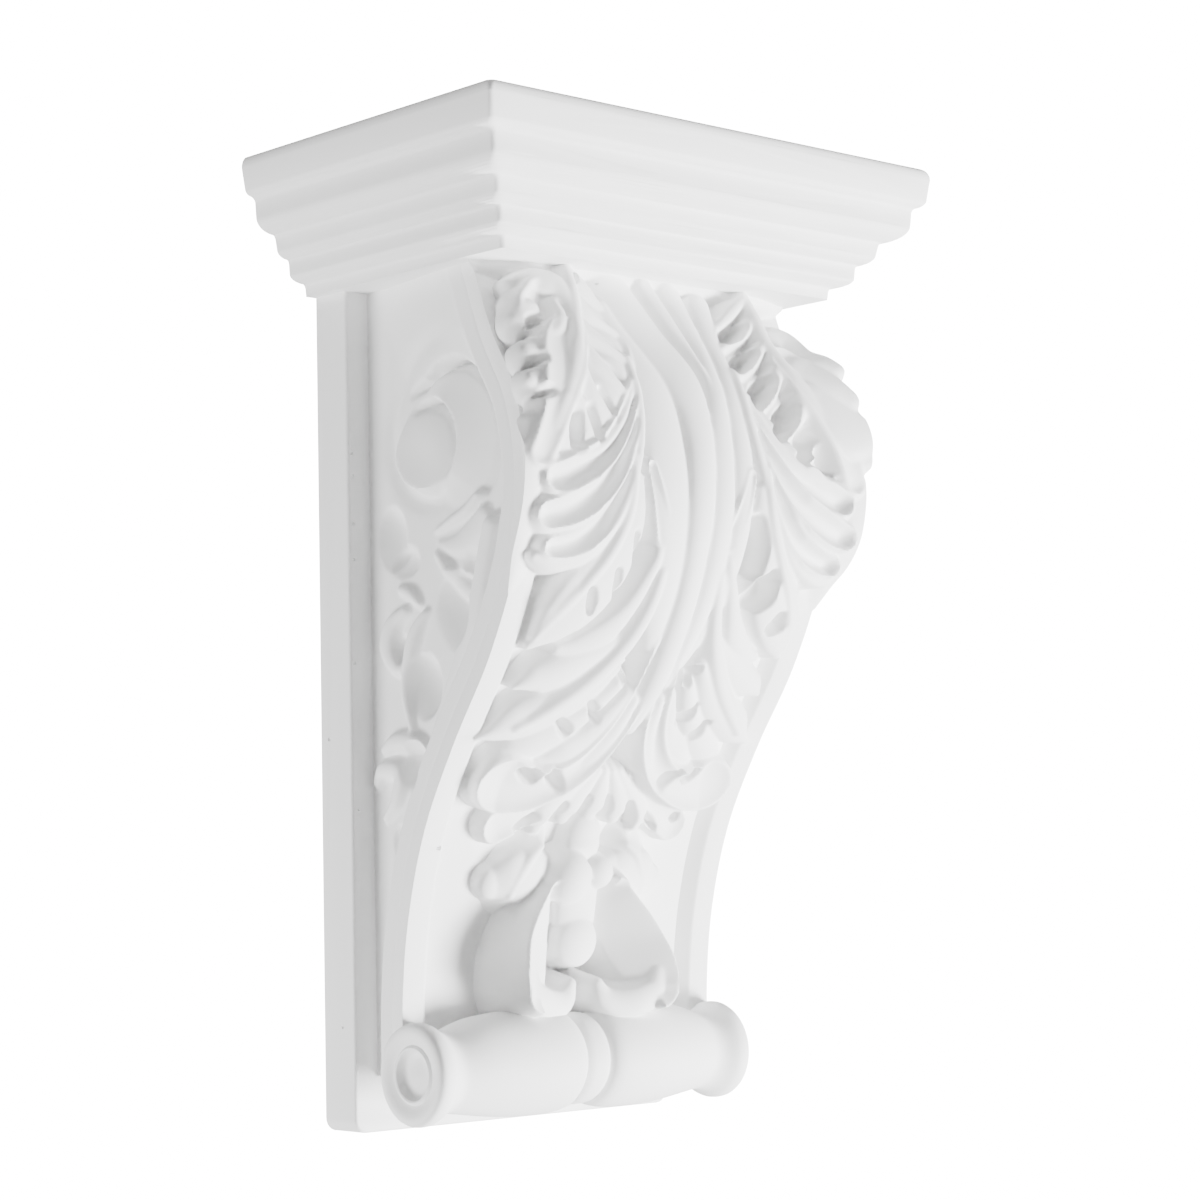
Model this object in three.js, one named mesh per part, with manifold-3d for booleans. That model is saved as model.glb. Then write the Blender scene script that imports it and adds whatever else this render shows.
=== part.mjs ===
// A carved corbel in one plaster casting: a mitred crown moulding on three sides, a body whose
// front falls in an S, acanthus carving over that front, scroll relief on the two cheeks, a turned
// roll across the foot and a flat plate behind.
//
// Millimetres, +Z up. The origin is the middle of the back face, which lies on the wall. The
// corbel stands out from the wall towards -Y, and it is seen from there with +X to the right.

import * as THREE from 'three';
import { mergeVertices } from 'three/addons/utils/BufferGeometryUtils.js';
import Module from 'manifold-3d';

// Overall sizes
const HEIGHT = 300;
const CROWN_WIDTH = 186;
const CROWN_DEPTH = 119;
const CROWN_HEIGHT = 41.5;
const PLATE_WIDTH = 130;
const PLATE_THICKNESS = 15;
const PLATE_CORNER = 3;
const BODY_WIDTH = 127;
const BODY_DEPTH = 97;
const FOOT_DEPTH = 36.5;

// The front panel and its border
const BORDER_WIDTH = 8.5;
const BORDER_SLOPE = 4.5;
const PANEL_SINK = 6;

// The cheeks: a raised band along the front edge, and a sunk ground behind it
const BAND_WIDTH = 11;
const BAND_SLOPE = 3;
const CHEEK_SINK = 7;

// The roll across the foot
const ROLL_RADIUS = 16.5;
const DISC_RADIUS = 15.2;
const DISC_THICKNESS = 9;
const NECK_RADIUS = 10.5;
const NECK_WIDTH = 4;
const RING_RADIUS = 15.6;
const RING_WIDTH = 9;
const EYE_RADIUS = 8;
const EYE_SINK = 2.5;
const ROLL_AXIS_DEPTH = 40.5;
const ROLL_AXIS_RISE = 18.7;

// How finely the solid is cut
const ROWS = 72;
const PANEL_COLUMNS = 40;
const ROLL_SIDES = 18;

const TOP = HEIGHT / 2;
const FOOT = -HEIGHT / 2;
const HALF_BODY = BODY_WIDTH / 2;
const CROWN_UNDERSIDE = TOP - CROWN_HEIGHT;
const OVERLAP = 3;

// The crown's profile: how far it steps in and how far it drops, from the top edge down.
// An arc gives a quarter round between two of its points.
function quarterRound(from, to, bulge, steps) {
  const points = [];
  for (let i = 1; i <= steps; i += 1) {
    const angle = (i / steps) * (Math.PI / 2);
    const across = bulge ? 1 - Math.cos(angle) : Math.sin(angle);
    const down = bulge ? Math.sin(angle) : 1 - Math.cos(angle);
    points.push([from[0] + (to[0] - from[0]) * across, from[1] + (to[1] - from[1]) * down]);
  }
  return points;
}

function crownProfile() {
  const drops = { nose: 4, fascia: 12, ovolo: 18.6, ovoloEnd: 23.5, fillet: 27.8, cove: 30.7 };
  const steps = { nose: 2.6, fascia: 1.2, ovolo: 5, ovoloEnd: 12.1, fillet: 12.9, cove: 17.4, last: 23.6 };
  const scale = CROWN_HEIGHT / 41.5;
  const profile = [
    [steps.nose, 0],
    ...quarterRound([steps.nose, 0], [0, drops.nose], false, 3),
    [steps.fascia, drops.fascia],
    [steps.ovolo - 0.4, drops.fascia + 0.8],
    [steps.ovolo, drops.ovolo],
    ...quarterRound([steps.ovolo, drops.ovolo], [steps.ovoloEnd, drops.ovoloEnd], true, 3),
    [steps.fillet, drops.fillet],
    ...quarterRound([steps.fillet, drops.fillet], [steps.cove, drops.cove], true, 2),
    [steps.cove + 0.3, drops.cove + 4.5],
    ...quarterRound([steps.cove + 0.3, drops.cove + 4.5], [steps.last, drops.cove + 7], true, 2),
    [steps.last + 0.4, CROWN_HEIGHT / scale],
  ];
  return profile.map(([step, drop]) => [step, drop * scale]);
}

// A stack of rectangles with flat backs on the wall: the crown
function crownGeometry() {
  const positions = [];
  const faces = [];
  const rings = crownProfile().map(([step, drop]) => {
    const half = CROWN_WIDTH / 2 - step;
    const front = -(CROWN_DEPTH - step);
    const z = TOP - drop;
    return [[-half, 0, z], [-half, front, z], [half, front, z], [half, 0, z]];
  });
  rings.forEach((ring) => ring.forEach((point) => positions.push(...point)));
  for (let i = 0; i + 1 < rings.length; i += 1) {
    for (let k = 0; k < 4; k += 1) {
      const a = i * 4 + k;
      const b = i * 4 + ((k + 1) % 4);
      faces.push(a, a + 4, b, b, a + 4, b + 4);
    }
  }
  const last = (rings.length - 1) * 4;
  faces.push(0, 1, 2, 0, 2, 3);
  faces.push(last, last + 2, last + 1, last, last + 3, last + 2);
  return indexed(positions, faces);
}

function indexed(positions, faces) {
  const geometry = new THREE.BufferGeometry();
  geometry.setAttribute('position', new THREE.Float32BufferAttribute(positions, 3));
  geometry.setIndex(faces);
  return geometry;
}

// The S of the front edge, from under the crown to inside the roll
function edgeCurve() {
  const deep = BODY_DEPTH;
  const foot = FOOT_DEPTH;
  const rise = CROWN_UNDERSIDE;
  const places = [
    [0.757 * deep, rise + OVERLAP],
    [0.85 * deep, 0.81 * rise],
    [0.961 * deep, 0.617 * rise],
    [deep, 0.387 * rise],
    [0.948 * deep, 0.157 * rise],
    [0.82 * deep, -0.083 * rise],
    [0.644 * deep, -0.313 * rise],
    [foot + 0.124 * deep, -0.539 * rise],
    [foot + 0.039 * deep, -0.774 * rise],
    [foot + 0.003 * deep, -1.005 * rise],
    [foot, -1.26 * rise],
  ];
  return new THREE.SplineCurve(places.map(([depth, z]) => new THREE.Vector2(-depth, z)));
}

const edge = edgeCurve();
const EDGE_LENGTH = edge.getLength();

// The place and the outward direction of the sheet at a distance down the S
function edgeAt(down) {
  const share = Math.min(Math.max(down / EDGE_LENGTH, 0), 1);
  const point = edge.getPointAt(share);
  const along = edge.getTangentAt(share);
  return { y: point.x, z: point.y, ny: along.y, nz: -along.x };
}

// The carving is drawn on a sheet: how far out from the middle line, how far down the S, how high
// it stands over the border, and half the width of the stroke there. The drawing is in
// millimetres at this corbel's own size, and it stretches with the body.
const DRAWING_WIDTH = 127;
const DRAWING_LENGTH = 261.6;
const DRAWING_ROLL = 243;

const ramp = (x, from, to) => Math.min(Math.max((x - from) / (to - from), 0), 1);

// A stroke runs along a smooth curve through its points. Its section is either a bead, round on
// top, or a scoop, a hollow between two rims. dip is how far the bead's sides, or the hollow's
// middle, lie below its top. Past its width a stroke falls off steeply.
const FALL = 1.8;
const SAMPLES_PER_SPAN = 4;

function stroke(section, dip, points) {
  const line = new THREE.CatmullRomCurve3(points.map(([out, down, high]) => new THREE.Vector3(out, down, high)));
  const spans = points.length - 1;
  const steps = spans * SAMPLES_PER_SPAN;
  const samples = [];
  for (let i = 0; i <= steps; i += 1) {
    const { x, y, z } = line.getPoint(i / steps);
    const k = Math.min(Math.floor(i / SAMPLES_PER_SPAN), spans - 1);
    const half = points[k][3] + (points[k + 1][3] - points[k][3]) * (i / SAMPLES_PER_SPAN - k);
    samples.push([x, y, z, half]);
  }
  return { section, dip, samples };
}

// How high a stroke stands at a place on the drawing
function strokeHeight({ section, dip, samples }, out, down) {
  let nearest = Infinity;
  let high = 0;
  let half = 1;
  for (let i = 0; i + 1 < samples.length; i += 1) {
    const [ax, ay, ah, aw] = samples[i];
    const [bx, by, bh, bw] = samples[i + 1];
    const dx = bx - ax;
    const dy = by - ay;
    const share = Math.min(Math.max(((out - ax) * dx + (down - ay) * dy) / (dx * dx + dy * dy), 0), 1);
    const distance = Math.hypot(out - ax - dx * share, down - ay - dy * share);
    if (distance < nearest) {
      nearest = distance;
      high = ah + (bh - ah) * share;
      half = aw + (bw - aw) * share;
    }
  }
  const x = nearest / half;
  const past = Math.max(nearest - half, 0) * FALL;
  const hollow = section === 'scoop' ? Math.max(1 - x * x, 0) : 1 - Math.sqrt(Math.max(1 - x * x, 0));
  return high - dip * hollow - past;
}

const bead = (dip, ...points) => stroke('bead', dip, points);
const scoop = (dip, ...points) => stroke('scoop', dip, points);

// The long reeds down the middle. They lean to one side at the top, so they aren't mirrored.
function reeds() {
  return [
    bead(3, [-24, 18, 9, 4], [-19, 31, 9, 5], [-14, 45, 8.5, 7], [-13, 62, 8.5, 8], [-11, 80, 8.5, 7.5],
      [-8.5, 96, 8, 6.5], [-7, 110, 7, 5], [-4, 124, 5, 3]),
    bead(3, [20, 12, 9, 5], [20, 32, 9, 4.2], [19, 50, 8.5, 4.5], [18.5, 75, 8.5, 4.5], [16, 95, 8, 4.5],
      [12, 112, 6.5, 4], [9, 124, 5, 3]),
    bead(3, [8, 8, 9, 5], [13, 27, 9, 3.6], [12, 44, 9, 4.2], [10, 60, 9, 5], [9.5, 80, 9, 4.8],
      [9, 97, 8.5, 4.4], [7.5, 114, 7.5, 3.6], [5, 130, 6, 2.5]),
    bead(3.5, [-17, 10, 9, 9], [-9, 27, 9.5, 9.5], [-1.5, 42, 10, 8], [0.5, 56, 10, 6.2], [0, 75, 10, 5.6],
      [0, 95, 9.5, 5], [0, 113, 9, 4.6], [0, 130, 8, 4.2], [-1, 146, 6, 3.4]),
    bead(2, [-3, 8, 9.5, 3.4], [5, 25, 9.5, 2.4], [10, 42, 9, 1.4]),
  ];
}

// The fingers of one leaf: each starts at its root, runs through one place and ends at its tip
function fingers(dip, rises, widths, rows) {
  return rows.map((row) => {
    const half = row[row.length - 1];
    const places = row.slice(0, -1);
    return scoop(dip, ...places.map(([out, down], i) => [out, down, rises[i], half * widths[i]]));
  });
}

// The upper leaf: broad, and turned back at its outer edge
function upperLeaf() {
  return fingers(2.4, [10, 13, 12], [0.7, 1, 0.9], [
    [[33, 17], [30, 26], [26, 34], 3.6],
    [[36, 19], [34, 31], [27.5, 42], 4.4],
    [[39, 21], [39, 38], [32.5, 49], 4.6],
    [[42, 24], [45, 42], [39, 55.5], 5],
    [[46, 27], [51, 46], [47, 60.5], 5.4],
    [[50, 30], [57, 48], [56, 62.5], 5.6],
    [[54, 38], [61, 52], [61, 64], 3.6],
  ]);
}

// The second leaf: three round-ended fingers, one broad pointed lobe and the rib they spring from
function middleLeaf() {
  return [
    bead(3, [24, 78, 6, 7], [30, 94, 7, 10], [42, 107, 6, 8.5], [56, 120, 2.5, 2]),
    bead(2, [13, 90, 6, 4], [21, 104, 7, 5], [29, 113, 6.5, 5], [38, 121, 4.5, 3]),
    ...fingers(3, [8, 9, 10, 10], [0.5, 0.75, 1, 1], [
      [[23, 50], [34, 63.5], [48, 70.5], [60, 73.5], 4.4],
      [[25, 60], [35, 73], [48, 79.5], [60, 83], 4.8],
      [[27, 70], [37, 82], [48, 88.5], [58, 91.5], 3.6],
    ]),
    bead(2, [22, 40, 9.5, 2.2], [24, 58, 9.5, 2.4], [28, 76, 8.5, 2.4], [38, 92, 8, 2], [50, 96, 7, 1.6]),
  ];
}

// The third leaf, which hangs over the big stem
function lowerLeaf() {
  return [
    ...fingers(2.2, [5.5, 5, 3.5], [0.7, 1, 1], [
      [[20, 118], [34, 122], [44, 125.5], 3.6],
      [[22, 126], [36, 131.5], [48, 135.5], 5],
      [[22, 136], [37, 143], [53, 149.5], 6],
      [[15, 142], [29, 151], [45, 158], 4.6],
      [[10, 140], [18, 152], [28, 161], 4.4],
      [[5, 138], [10, 149], [17, 160], 4],
    ]),
    bead(2, [12, 92, 8.5, 3], [14.5, 104, 8.5, 3.2], [20, 118, 7.5, 3], [29, 130, 6.5, 2.6], [40, 141, 5, 2]),
  ];
}

// The stem that sweeps out under the leaves, its lower lobe and the little petals
function stemAndPetals() {
  const petals = [[3.5, 177.5, 4], [11.5, 180.5, 4], [19.5, 183.5, 4.2], [28, 184, 4]];
  return [
    ...petals.map(([out, down, half]) => bead(3, [2, 166, 2, 3], [out, down, 2.5, half])),
    scoop(2.5, [2, 168, 3, 3], [18, 177, 3, 4.6], [36, 182, 3, 5]),
    scoop(2, [0.5, 122, 6, 3.5], [3, 139, 6, 4], [9, 155, 6, 4.6], [20, 165, 6, 5], [34, 169, 6, 6.5],
      [46, 166, 5.5, 8]),
  ];
}

// The pendant at the foot: an oval leaf, and a strap that curls in to a hook
function pendant() {
  return [
    bead(4, [4, 190, 3, 4], [18, 195, 4, 7.5], [29, 199, 3.5, 7.5], [37, 202, 1.5, 3.5]),
    bead(7, [7, 204, 6, 4], [20, 209, 9, 6], [31, 220, 10, 7.5], [29, 233, 11, 8], [16, 240, 11, 6.5],
      [4, 236, 10, 4.5]),
  ];
}

// The bud, the balls and the short stem between the straps
function middlePendant() {
  return [
    bead(7, [0, 184, 6, 6.5], [0, 189, 6, 5]),
    bead(8, [-1, 197.5, 8, 8], [1, 198.5, 8, 8]),
    bead(7, [7, 197.5, 7, 6], [8, 198.5, 7, 6]),
    bead(6, [0, 203, 4.5, 6.5], [0, 214, 4.5, 6.5]),
    bead(7, [0, 219, 5, 8], [2, 220, 5, 8]),
  ];
}

// The tip of the upper leaf, rolled over beside the crown
function curledTip() {
  return [
    bead(5, [36, 12, 9, 4], [44, 12, 13, 5], [51, 17, 14, 5], [53, 25, 13, 5], [48, 31, 12, 4.5]),
    bead(4, [50, 37, 12, 4.5], [51, 39, 12, 4.5]),
    bead(4, [53, 44, 12, 4], [54, 46, 12, 4]),
  ];
}

const middleStrokes = [...reeds(), ...middlePendant()];
const sideStrokes = [
  ...upperLeaf(), ...middleLeaf(), ...lowerLeaf(), ...stemAndPetals(), ...pendant(), ...curledTip(),
];

// How high the front stands over its border at a place on the drawing
function frontHeight(out, down) {
  const fromEdge = DRAWING_WIDTH / 2 - Math.abs(out);
  const aboveRoll = 1 - ramp(down, DRAWING_ROLL, DRAWING_ROLL + 4);
  let high = -PANEL_SINK * ramp(fromEdge, BORDER_WIDTH, BORDER_WIDTH + BORDER_SLOPE) * aboveRoll;
  middleStrokes.forEach((one) => {
    high = Math.max(high, strokeHeight(one, out, down));
  });
  sideStrokes.forEach((one) => {
    high = Math.max(high, strokeHeight(one, Math.abs(out), down));
  });
  return high;
}

// The same, smoothed over one cell of the grid, so that a coarse grid doesn't catch stray edges
function smoothHeight(out, down) {
  const wide = DRAWING_WIDTH / PANEL_COLUMNS;
  const tall = DRAWING_LENGTH / ROWS;
  let sum = 0;
  [-1, 0, 1].forEach((i) => [-1, 0, 1].forEach((k) => {
    sum += frontHeight(out + (i * wide) / 3, down + (k * tall) / 3);
  }));
  return sum / 9;
}

// The cheeks' relief, placed by depth from the wall and height over the middle: a round eye inside
// a scroll, leaf lobes below it, and hollows between them
const CHEEK_EYE = { depth: 46, rise: 57, radius: 14, high: 5 };
const SCROLL = { radius: 22, from: 1.45, to: -1.9, half: 6, high: 4.5 };
const CHEEK_LOBES = [
  { depth: 54, rise: 25, wide: 6, tall: 11, high: 4 },
  { depth: 27, rise: 8, wide: 6, tall: 8, high: 3.5 },
  { depth: 27, rise: -42, wide: 6, tall: 8, high: 3.5 },
];
const CHEEK_HOLLOWS = [
  { depth: 20, rise: 35, wide: 6, tall: 9, deep: 3 },
  { depth: 47, rise: 8, wide: 8, tall: 11, deep: 3 },
  { depth: 34, rise: -12, wide: 7.5, tall: 10, deep: 4 },
  { depth: 31, rise: -31, wide: 5, tall: 6, deep: 3 },
];

// A cushion, half out of the sunk ground or half in it
function cushionGeometry({ depth, rise, wide, tall }, thick, side) {
  const geometry = new THREE.SphereGeometry(1, 12, 8);
  geometry.scale(thick, wide, tall);
  geometry.translate(side * (HALF_BODY - CHEEK_SINK), -depth, rise);
  return geometry;
}

// The scroll's ridge: a bead bent round the eye, thin at its two ends
function scrollGeometry(side) {
  const positions = [];
  const faces = [];
  const steps = 14;
  const around = 6;
  for (let i = 0; i <= steps; i += 1) {
    const angle = SCROLL.from + (SCROLL.to - SCROLL.from) * (i / steps);
    const swell = Math.sin((Math.PI * (i + 1)) / (steps + 2)) ** 0.5;
    for (let k = 0; k < around; k += 1) {
      const turn = (k / around) * 2 * Math.PI;
      const radius = SCROLL.radius + SCROLL.half * swell * Math.cos(turn);
      positions.push(
        side * (HALF_BODY - CHEEK_SINK + SCROLL.high * swell * Math.sin(turn)),
        -(CHEEK_EYE.depth + radius * Math.cos(angle)),
        CHEEK_EYE.rise + radius * Math.sin(angle),
      );
    }
  }
  const turned = (a, b, c) => (side > 0 ? faces.push(a, b, c) : faces.push(a, c, b));
  for (let i = 0; i < steps; i += 1) {
    for (let k = 0; k < around; k += 1) {
      const a = i * around + k;
      const b = i * around + ((k + 1) % around);
      turned(a, a + around, b);
      turned(b, a + around, b + around);
    }
  }
  const last = steps * around;
  for (let k = 1; k + 1 < around; k += 1) {
    turned(0, k, k + 1);
    turned(last, last + k + 1, last + k);
  }
  return indexed(positions, faces);
}

// A place on the drawing, carried onto the corbel. What stands high near the border leans out.
const LEAN = 0.35;

function onFront(out, down, high) {
  const { y, z, ny, nz } = edgeAt((down / DRAWING_LENGTH) * EDGE_LENGTH);
  const share = out / (DRAWING_WIDTH / 2);
  const lean = Math.max(high, 0) * LEAN * ramp(Math.abs(share), 0.7, 1) * Math.sign(share);
  return [share * HALF_BODY + lean, y + ny * high, z + nz * high];
}

// The body: rows down the S, each running from the wall over one cheek, across the front and
// back over the other cheek
function bodyGeometry() {
  const positions = [];
  const faces = [];
  const back = -PLATE_THICKNESS / 2;
  const ground = HALF_BODY - CHEEK_SINK;
  const end = edgeLengthTo(FOOT + ROLL_AXIS_RISE);
  for (let row = 0; row <= ROWS; row += 1) {
    const length = (row / ROWS) * end;
    const down = (length / EDGE_LENGTH) * DRAWING_LENGTH;
    const { y, z } = edgeAt(length);
    const cheek = [
      [ground, back, z],
      [ground, Math.min(y + BAND_WIDTH + BAND_SLOPE, back - 1), z],
      [HALF_BODY, Math.min(y + BAND_WIDTH, back - 2), z],
      [HALF_BODY, y, z],
    ];
    cheek.forEach(([x, yy, zz]) => positions.push(-x, yy, zz));
    for (let i = 1; i < PANEL_COLUMNS; i += 1) {
      const out = ((2 * i) / PANEL_COLUMNS - 1) * (DRAWING_WIDTH / 2);
      positions.push(...onFront(out, down, smoothHeight(out, down)));
    }
    cheek.reverse().forEach(([x, yy, zz]) => positions.push(x, yy, zz));
  }
  const columns = PANEL_COLUMNS + 7;
  for (let row = 0; row < ROWS; row += 1) {
    for (let i = 0; i < columns; i += 1) {
      const a = row * columns + i;
      const b = row * columns + ((i + 1) % columns);
      faces.push(a, a + columns, b, b, a + columns, b + columns);
    }
  }
  closeRow(positions, faces, 0, columns, false);
  closeRow(positions, faces, ROWS * columns, columns, true);
  return indexed(positions, faces);
}

function edgeLengthTo(z) {
  let low = 0;
  let high = EDGE_LENGTH;
  for (let i = 0; i < 40; i += 1) {
    const middle = (low + high) / 2;
    if (edgeAt(middle).z > z) low = middle;
    else high = middle;
  }
  return low;
}

// Closes one end of the body with a fan round a middle point
function closeRow(positions, faces, first, columns, below) {
  const middle = [0, 0, 0];
  for (let i = 0; i < columns; i += 1) {
    for (let k = 0; k < 3; k += 1) middle[k] += positions[(first + i) * 3 + k] / columns;
  }
  const centre = positions.length / 3;
  positions.push(...middle);
  for (let i = 0; i < columns; i += 1) {
    const a = first + i;
    const b = first + ((i + 1) % columns);
    if (below) faces.push(a, centre, b);
    else faces.push(a, b, centre);
  }
}

// The back plate, with its lower corners rounded
function plateGeometry() {
  const half = PLATE_WIDTH / 2;
  const top = CROWN_UNDERSIDE + OVERLAP;
  const shape = new THREE.Shape();
  shape.moveTo(-half, top);
  shape.lineTo(-half, FOOT + PLATE_CORNER);
  shape.absarc(-half + PLATE_CORNER, FOOT + PLATE_CORNER, PLATE_CORNER, Math.PI, Math.PI * 1.5, false);
  shape.lineTo(half - PLATE_CORNER, FOOT);
  shape.absarc(half - PLATE_CORNER, FOOT + PLATE_CORNER, PLATE_CORNER, Math.PI * 1.5, Math.PI * 2, false);
  shape.lineTo(half, top);
  const geometry = new THREE.ExtrudeGeometry(shape, { depth: PLATE_THICKNESS, bevelEnabled: false, curveSegments: 4 });
  geometry.rotateX(Math.PI / 2);
  return geometry;
}

// The roll: a disc with a sunk eye at each end, two bulbs and a ring between them
function rollGeometry() {
  const end = HALF_BODY + 0.5;
  const disc = end - DISC_THICKNESS;
  const bulbFrom = RING_WIDTH / 2 + 2;
  const bulbTo = disc - NECK_WIDTH / 2;
  const half = [[RING_RADIUS, 0], [RING_RADIUS - 0.6, RING_WIDTH / 2 - 0.5]];
  const bulbSteps = 6;
  for (let i = 0; i <= bulbSteps; i += 1) {
    const share = i / bulbSteps;
    const swell = Math.sin(Math.PI * Math.min(share * 1.02, 1)) ** 0.55;
    const floor = share < 0.5 ? RING_RADIUS - 2.6 : NECK_RADIUS;
    half.push([floor + (ROLL_RADIUS - floor) * swell, bulbFrom + (bulbTo - bulbFrom) * share]);
  }
  half.push([NECK_RADIUS, disc]);
  half.push([DISC_RADIUS - 0.8, disc + 0.1]);
  half.push([DISC_RADIUS, disc + 1.2]);
  half.push([DISC_RADIUS, end - 1]);
  half.push([DISC_RADIUS - 1, end]);
  half.push([EYE_RADIUS, end]);
  half.push([EYE_RADIUS - 0.6, end - EYE_SINK]);
  half.push([EYE_RADIUS - 2.6, end - EYE_SINK * 0.6]);
  half.push([0, end - EYE_SINK * 0.4]);
  const profile = [
    ...half.slice(1).reverse().map(([radius, along]) => new THREE.Vector2(radius, -along)),
    ...half.map(([radius, along]) => new THREE.Vector2(radius, along)),
  ];
  const geometry = new THREE.LatheGeometry(profile, ROLL_SIDES);
  geometry.rotateZ(-Math.PI / 2);
  geometry.translate(0, -ROLL_AXIS_DEPTH, FOOT + ROLL_AXIS_RISE);
  return geometry;
}

// Joins the pieces of the casting into one solid
const wasm = await Module();
wasm.setup();

function solid(geometry) {
  const bare = geometry.clone();
  bare.deleteAttribute('normal');
  bare.deleteAttribute('uv');
  const merged = mergeVertices(bare, 1e-4);
  return new wasm.Manifold(new wasm.Mesh({
    numProp: 3,
    vertProperties: new Float32Array(merged.attributes.position.array),
    triVerts: new Uint32Array(merged.index.array),
  }));
}

let casting = solid(crownGeometry())
  .add(solid(plateGeometry()))
  .add(solid(bodyGeometry()))
  .add(solid(rollGeometry()));
[1, -1].forEach((side) => {
  const boss = { ...CHEEK_EYE, wide: CHEEK_EYE.radius, tall: CHEEK_EYE.radius };
  casting = casting.add(solid(scrollGeometry(side)));
  casting = casting.add(solid(cushionGeometry(boss, CHEEK_EYE.high, side)));
  CHEEK_LOBES.forEach((lobe) => {
    casting = casting.add(solid(cushionGeometry(lobe, lobe.high, side)));
  });
  CHEEK_HOLLOWS.forEach((hollow) => {
    casting = casting.subtract(solid(cushionGeometry(hollow, hollow.deep, side)));
  });
});
const joined = casting.getMesh();

const plaster = new THREE.MeshStandardMaterial({ color: 0xf1f0ee, roughness: 0.85, metalness: 0 });
const corbel = new THREE.Mesh(indexed([...joined.vertProperties], [...joined.triVerts]), plaster);
corbel.name = 'corbel';

const group = new THREE.Group();
group.add(corbel);

export default group;
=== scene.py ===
# %% [markdown]
# A carved corbel in white cast plaster: a stepped crown moulding, a body whose front falls in an
# S under acanthus leaves, scroll relief on the cheeks, a turned roll across the foot and a flat
# plate behind. It is one casting, so it has one finish, and what makes it look real is its relief.
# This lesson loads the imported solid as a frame, models the casting again with finer relief in the
# same place, gives it a plaster finish, and lights it softly in front of a white studio.

# %% Load the frame
import math

import bmesh
import bpy
import numpy as np
from mathutils import Matrix, Vector


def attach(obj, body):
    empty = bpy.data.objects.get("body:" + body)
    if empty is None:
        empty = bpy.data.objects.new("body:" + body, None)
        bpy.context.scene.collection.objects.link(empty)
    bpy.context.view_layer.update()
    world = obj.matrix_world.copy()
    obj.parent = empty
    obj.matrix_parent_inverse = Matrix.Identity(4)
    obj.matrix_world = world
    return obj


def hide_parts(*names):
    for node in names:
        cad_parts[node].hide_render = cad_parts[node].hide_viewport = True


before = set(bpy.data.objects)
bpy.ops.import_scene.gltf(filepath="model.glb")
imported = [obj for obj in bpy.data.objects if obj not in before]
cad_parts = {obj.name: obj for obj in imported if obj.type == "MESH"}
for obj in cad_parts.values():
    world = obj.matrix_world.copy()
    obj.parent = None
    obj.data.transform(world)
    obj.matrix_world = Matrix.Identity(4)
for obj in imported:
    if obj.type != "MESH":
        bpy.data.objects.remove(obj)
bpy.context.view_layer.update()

# %% [markdown]
# Every size below is in millimetres, as on a maker's drawing, and one helper carries a finished
# shape to metres. The origin is the middle of the back face on the wall, +Z is up and the corbel
# stands out towards -Y. The solid has the same main sizes. The sheets on which the carving is
# drawn run down the front to SHEET_END, where the roll's discs hide their ends.

# %% Main sizes
MM = 0.001
HEIGHT = 300.0
CROWN_WIDTH = 186.0
CROWN_DEPTH = 119.0
CROWN_HEIGHT = 41.5
PLATE_WIDTH = 130.0
PLATE_THICKNESS = 15.0
PLATE_CORNER = 4.2
PLATE_EASE = 0.9
BODY_WIDTH = 127.0
BODY_DEPTH = 97.0
FOOT_DEPTH = 36.5
TOP = HEIGHT / 2
FOOT = -HEIGHT / 2
ROLL_AXIS_DEPTH = 40.5
ROLL_AXIS_RISE = 18.7
HALF_BODY = BODY_WIDTH / 2
CROWN_UNDERSIDE = TOP - CROWN_HEIGHT
OVERLAP = 3.0
SHEET_END = 258.0

# %% [markdown]
# The front of the body falls in an S. One smooth curve through a few places gives it, and the
# carving is then drawn on a flat sheet: how far out from the middle line, how far down the S, and
# how high above the border. The sheet is bent over the S at the end, so that leaves can be drawn
# flat and still follow the bulge, as a carver lays out a paper pattern.


# %% The S of the front edge
def smooth_curve(points, per_span):
    """A smooth curve through rows of numbers, with per_span steps between two of them."""
    p = np.asarray(points, float)
    p = np.vstack([p[:1], p, p[-1:]])
    t = np.linspace(0, 1, per_span, endpoint=False)[:, None]
    spans = []
    for a, b, c, d in zip(p[:-3], p[1:-2], p[2:-1], p[3:]):
        pull_b, pull_c = (c - a) / 2, (d - b) / 2
        bend = 2 * b - 2 * c + pull_b + pull_c
        lift = -3 * b + 3 * c - 2 * pull_b - pull_c
        spans.append(bend * t**3 + lift * t**2 + pull_b * t + b)
    return np.vstack([*spans, p[-1:]])


rise = CROWN_UNDERSIDE
S_PLACES = [
    (0.757 * BODY_DEPTH, rise + OVERLAP),
    (0.85 * BODY_DEPTH, 0.81 * rise),
    (0.961 * BODY_DEPTH, 0.617 * rise),
    (BODY_DEPTH, 0.387 * rise),
    (0.948 * BODY_DEPTH, 0.157 * rise),
    (0.82 * BODY_DEPTH, -0.083 * rise),
    (0.644 * BODY_DEPTH, -0.313 * rise),
    (FOOT_DEPTH + 0.124 * BODY_DEPTH, -0.539 * rise),
    (FOOT_DEPTH + 0.039 * BODY_DEPTH, -0.774 * rise),
    (FOOT_DEPTH + 0.003 * BODY_DEPTH, -1.005 * rise),
    (FOOT_DEPTH, -1.26 * rise),
]
s_line = smooth_curve([(-depth, z) for depth, z in S_PLACES], 60)
s_steps = np.hypot(*np.diff(s_line, axis=0).T)
s_length = np.concatenate([[0], np.cumsum(s_steps)])
DRAWING_LENGTH = 261.6
s_down = s_length * DRAWING_LENGTH / s_length[-1]
s_along = np.gradient(s_line, s_length, axis=0)
s_along /= np.linalg.norm(s_along, axis=1)[:, None]


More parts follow.
